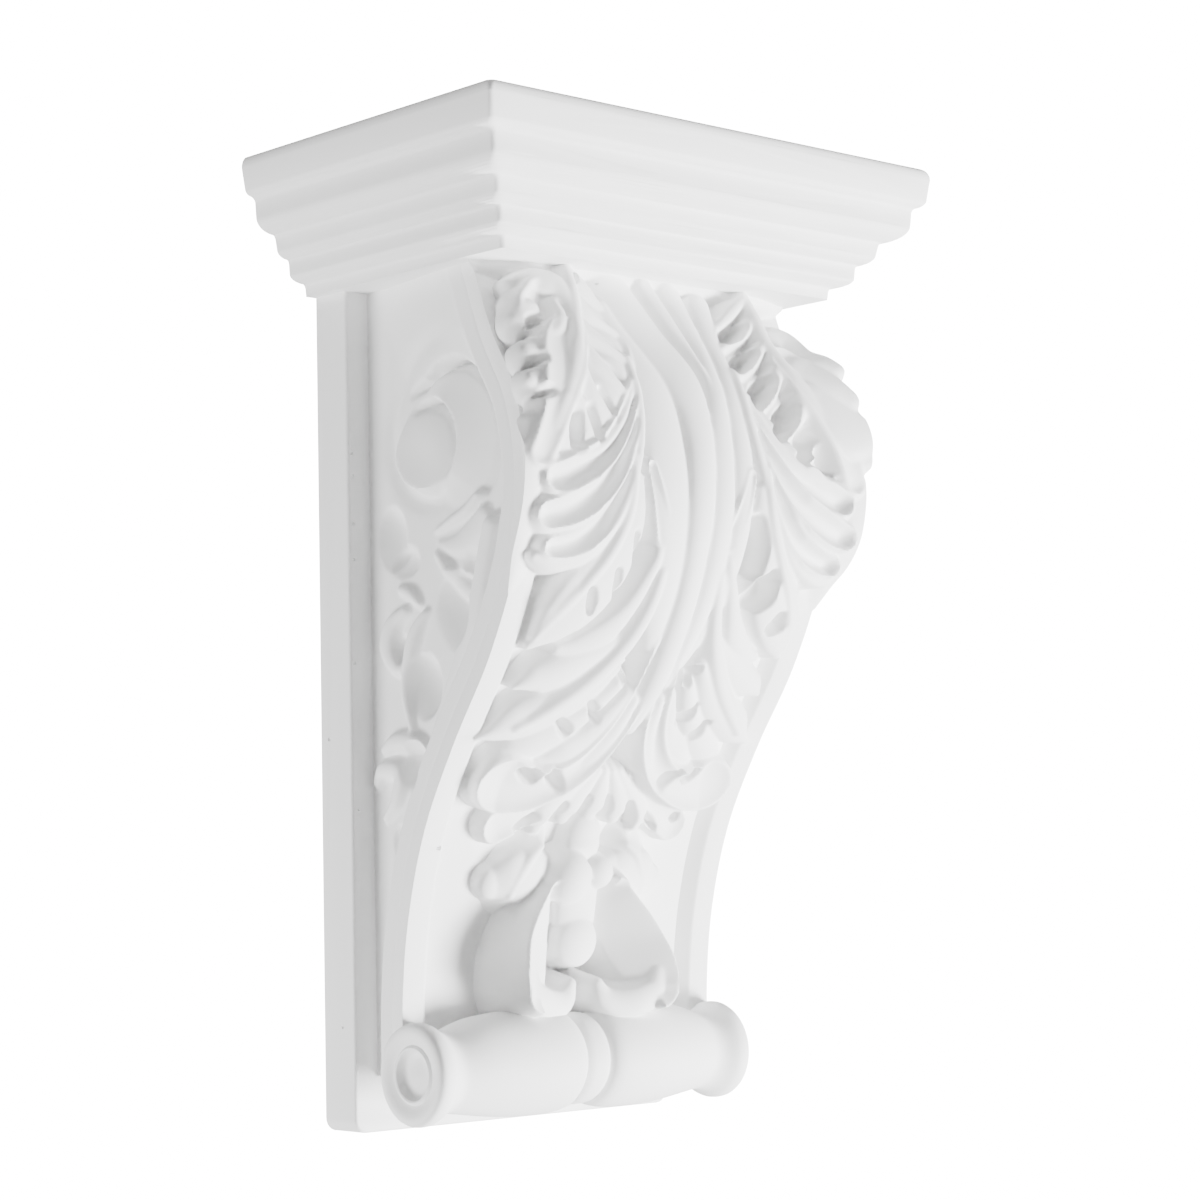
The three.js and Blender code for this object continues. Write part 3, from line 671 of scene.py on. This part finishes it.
# %% The turns of the scroll
EYE_DEPTH = 46.5
EYE_RISE = 57.0
EYE_RADIUS = 14.0
TURN_ANGLES = np.radians([-75, -55, -38, -23, 0, 18, 40, 57, 74, 96])
TURN_RADII = [19, 26.5, 30.4, 31.4, 32.8, 32.6, 31.2, 29, 25, 20]
TURN_DEPTHS = [0, 0.5, 0.9, 1, 1, 1, 1, 0.9, 0.5, 0]
TURN_FLOOR = -8.2
TURN_CLIMB = 5.0
GROOVE_ANGLES = np.radians([-40, 5, 40, 75, 100, 125])
GROOVE_SHARES = [0, 0.35, 1, 1, 0.6, 0]
GROOVE_DEPTH = 8.0
GROOVE_INSET = 1.1
GROOVE_WIDTH = 1.25
VALLEY_ANGLES = np.radians([60, 79, 104, 128, 170, 205, 245, 280, 300])
VALLEY_RADII = [36, 33, 28.5, 24.6, 20.4, 18.6, 17, 16.4, 17]
VALLEY_DEPTHS = [0, 0.8, 1.2, 1.4, 1.6, 1.8, 1.8, 1.2, 0]
VALLEY_WIDTH = 3.2

across, upward = cheek_depth - EYE_DEPTH, cheek_rise - EYE_RISE
away = np.hypot(across, upward)
around = np.arctan2(upward, across)
turn_radius = np.interp(around, TURN_ANGLES, TURN_RADII)
turn_share = np.interp(around, TURN_ANGLES, TURN_DEPTHS, left=0, right=0)
turn_high = TURN_FLOOR + TURN_CLIMB * ramp(away, turn_radius, EYE_RADIUS)
inside = 1 - ramp(away, turn_radius - 0.4, turn_radius + 0.4)
cheek_high = cheek_high + (turn_high - cheek_high) * inside * turn_share

groove_share = np.interp(around, GROOVE_ANGLES, GROOVE_SHARES)
groove = groove_share * round_bump(away - turn_radius + GROOVE_INSET, GROOVE_WIDTH)
cheek_high -= GROOVE_DEPTH * groove

full_turn = np.where(around < math.radians(30), around + 2 * math.pi, around)
valley_radius = np.interp(full_turn, VALLEY_ANGLES, VALLEY_RADII)
valley_share = np.interp(full_turn, VALLEY_ANGLES, VALLEY_DEPTHS, left=0, right=0)
cheek_high -= valley_share * round_bump(away - valley_radius, VALLEY_WIDTH)

# %% [markdown]
# The eye is a dome that dips at its upper right, inside a thin raised rim, with a groove of its
# own. Both grooves are pushed outward below the lip of their wall, for the dark crescents that the
# real carving shows there.

# %% The eye of the scroll
EYE_HIGH = -5.8
EYE_DIP = 3.6
EYE_DOME = 1.8
DIP_ANGLE = 0.9
EYE_GROOVE_ANGLES = np.radians([-20, 25, 60, 90, 125])
EYE_GROOVE_SHARES = [0, 0.6, 1, 0.8, 0]
EYE_GROOVE_DEPTH = 7.0
EYE_GROOVE_INSET = 1.4
EYE_GROOVE_WIDTH = 1.2
EYE_RIM = 0.5
EYE_RIM_WIDTH = 0.7
EDGE_INSET = 0.3
TURN_UNDERCUT = 1.2
EYE_UNDERCUT = 1.1

share = np.minimum(away / EYE_RADIUS, 1)
dip = EYE_DIP * share**2 * np.cos(around - DIP_ANGLE)
eye = EYE_HIGH - dip + EYE_DOME * np.sqrt(1 - share**2)
in_eye = 1 - ramp(away, EYE_RADIUS - EDGE_INSET, EYE_RADIUS + 2 * EDGE_INSET)
cheek_high = cheek_high + (eye - cheek_high) * in_eye
eye_groove_share = np.interp(around, EYE_GROOVE_ANGLES, EYE_GROOVE_SHARES)
eye_groove = eye_groove_share * round_bump(away - EYE_RADIUS + EYE_GROOVE_INSET, EYE_GROOVE_WIDTH)
cheek_high -= EYE_GROOVE_DEPTH * eye_groove
cheek_high += EYE_RIM * round_bump(away - EYE_RADIUS - EDGE_INSET, EYE_RIM_WIDTH)
undercut = TURN_UNDERCUT * groove + EYE_UNDERCUT * eye_groove

# %% [markdown]
# Under the scroll, small leaves fold over each other along the band, with deep hollows between
# them. A hollow is an oval that gets deeper towards one side, where its wall is steep.

# %% Leaves and hollows on the cheek
CHEEK_FALL = 1.8


def cheek_bead(dip, *points):
    return bead(dip, *points, fall=CHEEK_FALL)


CHEEK_LEAVES = [
    cheek_bead(1, (48, 31, -6, 1), (56, 33.6, -5, 1.4), (63, 36, -4.4, 1.4), (69, 40, -4.2, 1.2)),
    cheek_bead(2, (50, 27, -6, 2), (58, 26, -5.2, 3.6), (66, 29, -4.6, 4.4), (71, 34, -4.4, 3)),
    cheek_bead(1.5, (49, 24, -5, 1.6), (54, 19, -4, 2), (57, 13.6, -3.6, 2.2), (63, 9.6, -3.2, 2.4),
               (69, 8, -2.6, 2.4)),
    cheek_bead(1.6, (76, 30, -2.4, 3), (73, 20, -2.4, 3.2), (69.6, 8, -2.4, 3.4), (64, -5, -2.6, 3.6),
               (56.4, -19, -3, 3.4), (50, -29, -3.6, 2.6), (45, -36, -5, 1)),
    cheek_bead(1.4, (31, 14.6, -5, 1.6), (36, 13, -4.4, 2), (40, 9.6, -5, 1.2)),
    cheek_bead(2, (33, 8, -4.6, 2), (27, 4, -3.8, 3), (25, -3, -3.6, 3.4), (29, -9, -4.2, 2.6),
               (35, -10, -5.2, 1.4)),
    cheek_bead(1.6, (43, 7, -5, 1.2), (38, 1, -4, 2.2), (34.6, -8, -4, 2.2), (33, -18, -4.6, 1.8),
               (36, -29, -5, 1.4)),
    cheek_bead(1.6, (22, -34, -5, 1.6), (28, -31.6, -4, 2.6), (37, -32, -3.8, 2.6), (44, -35, -4.4, 1.6)),
    cheek_bead(1.6, (18, -44, -5, 1.6), (22, -40, -4, 2.6), (30, -41, -3.8, 2.6), (28, -49, -4.2, 2.2),
               (22, -55, -5, 1)),
]
CHEEK_HOLLOWS = [
    (26, 30.5, 6.6, 10, 3.6, 0.7), (32, 23, 7, 5, 2.4, 0.6), (65, 19, 4.6, 4.4, 5, 0.3),
    (57, 6, 10, 12, 4.6, 1.1), (41, -15.6, 7.6, 10, 5.4, 0.9), (38, -40, 6.6, 8, 4.6, 0.6),
    (31.6, -3, 2, 4, 1.6, 0.2), (28, -62, 3.4, 5, 2, 0.6),
]
for one in CHEEK_LEAVES:
    cheek_high = np.maximum(cheek_high, stroke_height(one, cheek_depth, cheek_rise))
for depth, up, wide, tall, deep, lopsided in CHEEK_HOLLOWS:
    side, top = (cheek_depth - depth) / wide, (cheek_rise - up) / tall
    bowl = np.maximum(1 - side**2 - top**2, 0) ** 0.55
    cheek_high = cheek_high - deep * bowl * (1 + lopsided * (0.75 * side + 0.65 * top))
cheek_high = soften(cheek_high, 1)

# %% [markdown]
# The body behind the carved slab is a grid as well: each of its rows starts behind the plate's
# face, runs over one cheek, across under the slab and back over the other cheek.

# %% The body
cheek_x = HALF_BODY + cheek_high
cheek_y = -cheek_depth - undercut * np.cos(around)
cheek = np.stack([cheek_x, cheek_y, cheek_rise + undercut * np.sin(around)], -1)
middle = np.stack([np.zeros(len(body_down)), np.full(len(body_down), back_y), edge_z], -1)[:, None]
left_cheek = cheek[:, ::-1] * (-1, 1, 1)
body_places = np.concatenate([middle, left_cheek, cheek, middle], axis=1)
narrow_in_roll(body_places)
body_mesh = grid_mesh("body", body_places * MM)
close_tube(body_mesh)
body = add_object("body", body_mesh)

# %% [markdown]
# The crown is a moulding that runs round three sides with mitred corners. It is a stack of rings:
# the first ring is drawn, and each further one is extruded from the last and stepped in and down
# by the moulding's profile. The arrises of a plaster casting are never sharp, so the profile turns
# its corners in small arcs.


# %% The profile of the crown
def arc(start, stop, bulge, steps):
    """A quarter round between two places of the profile, bulging or hollow."""
    turn = np.linspace(0, math.pi / 2, steps + 1)[1:]
    across = 1 - np.cos(turn) if bulge else np.sin(turn)
    drop = np.sin(turn) if bulge else 1 - np.cos(turn)
    return [(start[0] + (stop[0] - start[0]) * a, start[1] + (stop[1] - start[1]) * d)
            for a, d in zip(across, drop)]


def ease(profile, reach):
    """Cuts each corner of a profile off a little, so that no arris stays sharp."""
    eased = [profile[0]]
    for before, corner, after in zip(profile, profile[1:], profile[2:]):
        for other in (before, after):
            share = min(reach / math.dist(corner, other), 1 / 3)
            eased.append(tuple(c + (o - c) * share for c, o in zip(corner, other)))
    return [*eased, profile[-1]]


def crown_profile():
    drawn = [
        (2.6, 0), *arc((2.6, 0), (0, 4), False, 6), (1.2, 12), (4.6, 12.8), (5, 18.6),
        *arc((5, 18.6), (12.1, 23.5), True, 8), (12.9, 27.8),
        *arc((12.9, 27.8), (17.4, 30.7), True, 6), (17.7, 35.2),
        *arc((17.7, 35.2), (23.6, 37.7), True, 6), (24, CROWN_HEIGHT),
    ]
    return ease(ease(drawn, 0.9), 0.4)


# %% [markdown]
# A cast moulding is never dead straight, so the long edges of the crown are divided and moved in by
# up to half a millimetre, in slow waves. Its two mitres get a narrow bevel.

# %% The crown moulding
MITRE_EASE = 1.5
LONG_EDGE = 60
LONG_EDGE_CUTS = 30
CROWN_WAVE = 0.0045


def crown_ring(step, drop):
    """One ring of the crown: two mitres between a left and a right end on the wall."""
    half = CROWN_WIDTH / 2 - step
    front = -(CROWN_DEPTH - step)
    z = TOP - drop
    return [Vector(p) * MM for p in ((-half, 0, z), (-half, front, z), (half, front, z), (half, 0, z))]


def ease_edges(bm, edges, reach, segments):
    """Bevels some edges of a shape, with a reach in millimetres."""
    bmesh.ops.bevel(
        bm, geom=edges, offset=reach * MM, segments=segments, profile=0.5, affect="EDGES", material=-1)


def make_crown():
    bm = bmesh.new()
    profile = crown_profile()
    ring = [bm.verts.new(p) for p in crown_ring(*profile[0])]
    bm.faces.new(ring)
    mitres = []
    for step, drop in profile[1:]:
        edges = [bm.edges.get((ring[k], ring[(k + 1) % 4])) for k in range(4)]
        made = bmesh.ops.extrude_edge_only(bm, edges=edges)
        fresh = [v for v in made["geom"] if isinstance(v, bmesh.types.BMVert)]
        below = []
        for v, place in zip(ring, crown_ring(step, drop)):
            twin = next(e.other_vert(v) for e in v.link_edges if e.other_vert(v) in fresh)
            twin.co = place
            below.append(twin)
            if place.y < -MM:
                mitres.append(bm.edges.get((v, twin)))
        ring = below
    bm.faces.new(ring)
    bmesh.ops.recalc_face_normals(bm, faces=bm.faces)
    ease_edges(bm, mitres, MITRE_EASE, 4)
    level = [e for e in bm.edges if abs(e.verts[0].co.z - e.verts[1].co.z) < 1e-6]
    long_edges = [e for e in level if e.calc_length() > LONG_EDGE * MM]
    bmesh.ops.subdivide_edges(bm, edges=long_edges, cuts=LONG_EDGE_CUTS, use_grid_fill=True)
    for v in bm.verts:
        x, y, z = v.co / MM
        wave = math.sin(x / 19 + z / 7) + math.sin(y / 11 + z / 5 + 1) + math.sin((x - y) / 7 + z / 3)
        share = ramp(TOP - z, 1, 5) * (0.5 + wave / 6)
        v.co.x *= 1 - CROWN_WAVE * share
        v.co.y *= 1 - CROWN_WAVE * share
    bmesh.ops.triangulate(bm, faces=bm.faces)
    mesh = bpy.data.meshes.new("crown")
    bm.to_mesh(mesh)
    bm.free()
    return add_object("crown", mesh)


crown = make_crown()


# %% [markdown]
# The plate is a flat board with its lower corners and its face edges eased. A box is stretched to
# size and bevelled, first at the two lower corners and then along the front edges.


# %% The back plate
def make_plate():
    top = CROWN_UNDERSIDE + OVERLAP
    bm = bmesh.new()
    bmesh.ops.create_cube(bm, size=1)
    size = Vector((PLATE_WIDTH, PLATE_THICKNESS, top - FOOT)) * MM
    bmesh.ops.scale(bm, vec=size, verts=bm.verts)
    bmesh.ops.translate(bm, vec=Vector((0, -PLATE_THICKNESS / 2, (top + FOOT) / 2)) * MM, verts=bm.verts)
    low = (FOOT + 1) * MM
    low_edges = [e for e in bm.edges if all(v.co.z < low for v in e.verts)]
    corners = [e for e in low_edges if e.verts[0].co.x == e.verts[1].co.x]
    ease_edges(bm, corners, PLATE_CORNER, 6)
    rim = [e for e in bm.edges if all(v.co.y < -(PLATE_THICKNESS - 1) * MM for v in e.verts)]
    ease_edges(bm, rim, PLATE_EASE, 3)
    bmesh.ops.triangulate(bm, faces=bm.faces)
    mesh = bpy.data.meshes.new("plate")
    bm.to_mesh(mesh)
    bm.free()
    return add_object("plate", mesh)


plate = make_plate()

# %% [markdown]
# The roll is a turned piece, so its profile is spun about its axis, as on a lathe: a dished disc at
# each end, a neck, a swelling bulb, and a ring in the middle. It is drawn from the middle outwards.

# %% The roll at the foot
BULB_LIFT = 1.1
BULB_END = 44
DISC_START = 54
ROLL_STEPS = 96
ROLL_PROFILE = [
    (14.2, 0), (14.2, 1.6), (14, 3), (13.5, 4), (13.1, 4.6), (13.3, 5.1), (14.2, 5.8), (15.2, 7.2),
    (15.8, 10), (16.2, 14), (16.3, 19), (16.2, 25), (15.8, 31), (15.2, 37), (14.5, 42), (13.6, 46.4),
    (12.8, 49.6), (12.4, 51.4), (12.3, 52.6), (12.5, 54), (13.1, 55.6), (14, 57.2), (14.9, 58.6),
    (15.4, 60), (15.5, 61.4), (15.4, 62.6), (15, 63.4), (14.2, 64), (13.2, 64.2), (12.2, 64.1),
    (11, 63.6), (9.8, 63), (9, 62.8), (8.6, 63.2), (8.1, 63.5), (7.6, 63.3), (7.2, 62.4), (6.7, 61.4),
    (6, 60.9), (4.6, 60.8), (3, 61), (1.5, 61.1), (0, 61.2),
]


def make_roll():
    whole = [(r, -x) for r, x in ROLL_PROFILE[:0:-1]] + ROLL_PROFILE
    axis = Vector((0, -ROLL_AXIS_DEPTH, FOOT + ROLL_AXIS_RISE)) * MM
    bm = bmesh.new()
    line = [bm.verts.new(axis + Vector((x, 0, r)) * MM) for r, x in whole]
    edges = [bm.edges.new(pair) for pair in zip(line[:-1], line[1:])]
    bmesh.ops.spin(
        bm, geom=line + edges, cent=axis, axis=(1, 0, 0), angle=2 * math.pi, steps=ROLL_STEPS,
        use_merge=True)
    bmesh.ops.remove_doubles(bm, verts=bm.verts, dist=1e-6)
    for v in bm.verts:
        v.co.z += BULB_LIFT * MM * (1 - ramp(abs(v.co.x) / MM, BULB_END, DISC_START))
    bmesh.ops.recalc_face_normals(bm, faces=bm.faces)
    bmesh.ops.triangulate(bm, faces=bm.faces)
    mesh = bpy.data.meshes.new("roll")
    bm.to_mesh(mesh)
    bm.free()
    return add_object("roll", mesh)


roll = make_roll()


# %% [markdown]
# The plate has pinholes too, in the strip of its face beside the body and in its side. They are
# small balls, to be cut out of the casting. Each is given by where it is and its radius.

# %% Pinholes in the plate
FACE_PINHOLES = [
    (-63.4, 58, 0.6), (-62.8, 51, 0.5), (-63.2, 36, 0.75), (-63, 25, 0.6), (-63.2, -7, 0.7),
    (-62.6, -52, 0.5),
]
SIDE_PINHOLES = [(-4, -30, 0.7), (-9, -118, 0.6)]


def make_pinholes():
    places = [(x, -PLATE_THICKNESS, z, radius) for x, z, radius in FACE_PINHOLES]
    places += [(-PLATE_WIDTH / 2, y, z, radius) for y, z, radius in SIDE_PINHOLES]
    bm = bmesh.new()
    for x, y, z, radius in places:
        there = Matrix.Translation(Vector((x, y, z)) * MM)
        bmesh.ops.create_icosphere(bm, subdivisions=2, radius=radius * MM, matrix=there)
    mesh = bpy.data.meshes.new("pinholes")
    bm.to_mesh(mesh)
    bm.free()
    return add_object("pinholes", mesh)


pinholes = make_pinholes()


# %% [markdown]
# The body, the plate, the crown and the roll are joined by Boolean modifiers, as one poured piece has no
# joints inside it, and the pinholes are cut out of them. The carved front stays a piece of its own. Then
# the flat places are thinned, so that the triangles stay where the relief is.


# %% Join the casting
BODY_TRIANGLES = 170000
FRONT_TRIANGLES = 190000
SHARP_ANGLE = math.radians(38)


def join_casting(base, others, holes, triangles):
    for other in [*others, holes]:
        step = base.modifiers.new(other.name, "BOOLEAN")
        step.operation = "DIFFERENCE" if other == holes else "UNION"
        step.solver = "MANIFOLD"
        step.object = other
    apply_modifiers(base)
    for other in [*others, holes]:
        bpy.data.objects.remove(other)
    thin(base, triangles)


def apply_modifiers(thing):
    bpy.context.view_layer.update()
    ready = thing.evaluated_get(bpy.context.evaluated_depsgraph_get())
    mesh = bpy.data.meshes.new_from_object(ready)
    thing.modifiers.clear()
    thing.data = mesh


def thin(thing, triangles):
    thing.data.calc_loop_triangles()
    have = len(thing.data.loop_triangles)
    if have > triangles:
        less = thing.modifiers.new("thin", "DECIMATE")
        less.ratio = triangles / have
        apply_modifiers(thing)
    thing.data.calc_loop_triangles()
    print(thing.name, "went from", have, "to", len(thing.data.loop_triangles), "triangles")


join_casting(body, [plate, crown, roll], pinholes, BODY_TRIANGLES)
thin(carved_front, FRONT_TRIANGLES)
for piece in (body, carved_front):
    piece.data.shade_smooth()
    piece.data.set_sharp_from_angle(angle=SHARP_ANGLE)

# %% [markdown]
# Bare plaster is white, matt and very slightly uneven, with a fine grain from the mould and faint
# clouds of tone. One node group makes the clouds and the grain, and the material puts its own
# strength to them.


# %% The plaster finish
GRAIN_SHARE = 0.35
CLOUD_SCALE = 45
GRAIN_SCALE = 900
BUMP_HEIGHT = 0.6


def new_group(name, inputs, outputs):
    group = bpy.data.node_groups.new(name, "ShaderNodeTree")
    for label, kind in inputs:
        group.interface.new_socket(label, in_out="INPUT", socket_type=kind)
    for label, kind in outputs:
        group.interface.new_socket(label, in_out="OUTPUT", socket_type=kind)
    return group, group.nodes.new("NodeGroupInput"), group.nodes.new("NodeGroupOutput")


def make_plaster():
    group, given, made = new_group(
        "plaster_grain",
        [("Cloud Scale", "NodeSocketFloat"), ("Grain Scale", "NodeSocketFloat")],
        [("Tone", "NodeSocketFloat"), ("Height", "NodeSocketFloat")],
    )
    links = group.links
    where = group.nodes.new("ShaderNodeTexCoord")
    cloud = group.nodes.new("ShaderNodeTexNoise")
    grain = group.nodes.new("ShaderNodeTexNoise")
    for noise, socket, detail in ((cloud, "Cloud Scale", 3), (grain, "Grain Scale", 4)):
        noise.inputs["Detail"].default_value = detail
        links.new(where.outputs["Object"], noise.inputs["Vector"])
        links.new(given.outputs[socket], noise.inputs["Scale"])
    sum_up = group.nodes.new("ShaderNodeMath")
    sum_up.operation = "MULTIPLY_ADD"
    sum_up.inputs[1].default_value = GRAIN_SHARE
    links.new(grain.outputs["Fac"], sum_up.inputs[0])
    links.new(cloud.outputs["Fac"], sum_up.inputs[2])
    links.new(cloud.outputs["Fac"], made.inputs["Tone"])
    links.new(sum_up.outputs[0], made.inputs["Height"])

    material = bpy.data.materials.new("cast_plaster")
    material.use_nodes = True
    nodes, links = material.node_tree.nodes, material.node_tree.links
    surface = nodes["Principled BSDF"]
    surface.inputs["Roughness"].default_value = 0.62
    surface.inputs["Specular IOR Level"].default_value = 0.35
    placed = nodes.new("ShaderNodeGroup")
    placed.node_tree = group
    placed.inputs["Cloud Scale"].default_value = CLOUD_SCALE
    placed.inputs["Grain Scale"].default_value = GRAIN_SCALE
    tone = nodes.new("ShaderNodeMix")
    tone.data_type = "RGBA"
    tone.inputs["A"].default_value = (0.88, 0.88, 0.875, 1)
    tone.inputs["B"].default_value = (0.92, 0.92, 0.92, 1)
    bump = nodes.new("ShaderNodeBump")
    bump.inputs["Strength"].default_value = 0.12
    bump.inputs["Distance"].default_value = BUMP_HEIGHT * MM
    links.new(placed.outputs["Tone"], tone.inputs["Factor"])
    links.new(tone.outputs["Result"], surface.inputs["Base Color"])
    links.new(placed.outputs["Height"], bump.inputs["Height"])
    links.new(bump.outputs["Normal"], surface.inputs["Normal"])
    return material


plaster = make_plaster()
for piece in (body, carved_front):
    piece.data.materials.clear()
    piece.data.materials.append(plaster)
    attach(piece, "root")
    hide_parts("corbel")

# %% [markdown]
# The corbel hangs on a wall that isn't shown, so the floor lies well below it. Floor and world are
# white to the camera, but light the object only softly. The lights are large and soft: the key
# stands low at the right front, so that the surfaces that face left fall into a pale grey, one at
# the left behind grazes the cheek from below, and a weak one hangs above.


# %% Floor, world and lights
FLOOR_HEIGHT = -1.0
FLOOR_HALF = 12
WHITE = 18
FLOOR_GLOW = 0.8
SKY_GLOW = 0.2


def glow_for_camera(nodes, links, seen, lit, socket):
    """White for the camera, and a softer light for the object."""
    path = nodes.new("ShaderNodeLightPath")
    mix = nodes.new("ShaderNodeMixShader")
    links.new(path.outputs["Is Camera Ray"], mix.inputs["Fac"])
    links.new(lit.outputs[0], mix.inputs[1])
    links.new(seen.outputs[0], mix.inputs[2])
    links.new(mix.outputs[0], socket)


def make_floor():
    bm = bmesh.new()
    bmesh.ops.create_grid(bm, x_segments=1, y_segments=1, size=FLOOR_HALF)
    bmesh.ops.translate(bm, vec=(0, 0, FLOOR_HEIGHT), verts=bm.verts)
    mesh = bpy.data.meshes.new("floor")
    bm.to_mesh(mesh)
    bm.free()
    material = bpy.data.materials.new("studio_floor")
    material.use_nodes = True
    nodes, links = material.node_tree.nodes, material.node_tree.links
    nodes.remove(nodes["Principled BSDF"])
    seen, lit = (nodes.new("ShaderNodeEmission") for _ in range(2))
    seen.inputs["Strength"].default_value = WHITE
    lit.inputs["Strength"].default_value = FLOOR_GLOW
    glow_for_camera(nodes, links, seen, lit, nodes["Material Output"].inputs["Surface"])
    mesh.materials.append(material)
    add_object("floor", mesh)


def make_world():
    world = bpy.data.worlds.new("studio")
    bpy.context.scene.world = world
    world.use_nodes = True
    nodes, links = world.node_tree.nodes, world.node_tree.links
    seen, lit = nodes["Background"], nodes.new("ShaderNodeBackground")
    seen.inputs["Color"].default_value = (1, 1, 1, 1)
    seen.inputs["Strength"].default_value = WHITE
    lit.inputs["Color"].default_value = (1, 1, 1, 1)
    lit.inputs["Strength"].default_value = SKY_GLOW
    glow_for_camera(nodes, links, seen, lit, nodes["World Output"].inputs["Surface"])


def area_light(name, place, target, size, power):
    light = bpy.data.lights.new(name, "AREA")
    light.shape = "SQUARE"
    light.size = size
    light.energy = power
    thing = bpy.data.objects.new(name, light)
    bpy.context.scene.collection.objects.link(thing)
    thing.location = place
    thing.rotation_euler = (Vector(target) - Vector(place)).to_track_quat("-Z", "Y").to_euler()
    return thing


make_floor()
make_world()
area_light("key", (0.66, -0.9, -0.5), (0, -0.05, -0.07), 0.45, 71)
area_light("top", (0.1, -0.2, 1.3), (0, -0.06, 0), 1.0, 9)
area_light("side", (-0.9, 0.42, -0.6), (0, -0.05, -0.04), 0.6, 23)

# %% [markdown]
# The camera was solved from the corners of the crown and the plate in the photograph: where it
# stands, how far it is turned, and how long its lens is.


# %% The camera
CAMERA_PLACE = (-0.60371, -0.72112, -0.06224)
CAMERA_YAW = math.radians(42.32)
CAMERA_PITCH = math.radians(4.72)
CAMERA_ROLL = math.radians(1.16)
CAMERA_LENS = 86.67


def make_camera():
    forward = Vector((
        math.sin(CAMERA_YAW) * math.cos(CAMERA_PITCH),
        math.cos(CAMERA_YAW) * math.cos(CAMERA_PITCH),
        math.sin(CAMERA_PITCH),
    ))
    level = Vector((math.cos(CAMERA_YAW), -math.sin(CAMERA_YAW), 0))
    lowered = forward.cross(level)
    right = level * math.cos(CAMERA_ROLL) + lowered * math.sin(CAMERA_ROLL)
    down = -level * math.sin(CAMERA_ROLL) + lowered * math.cos(CAMERA_ROLL)
    turned = Matrix((right, -down, -forward)).transposed().to_4x4()
    lens = bpy.data.cameras.new("camera")
    lens.lens = CAMERA_LENS
    lens.sensor_width = 36
    lens.clip_start = 0.01
    camera = bpy.data.objects.new("camera", lens)
    bpy.context.scene.collection.objects.link(camera)
    camera.matrix_world = Matrix.Translation(CAMERA_PLACE) @ turned
    bpy.context.scene.camera = camera


make_camera()
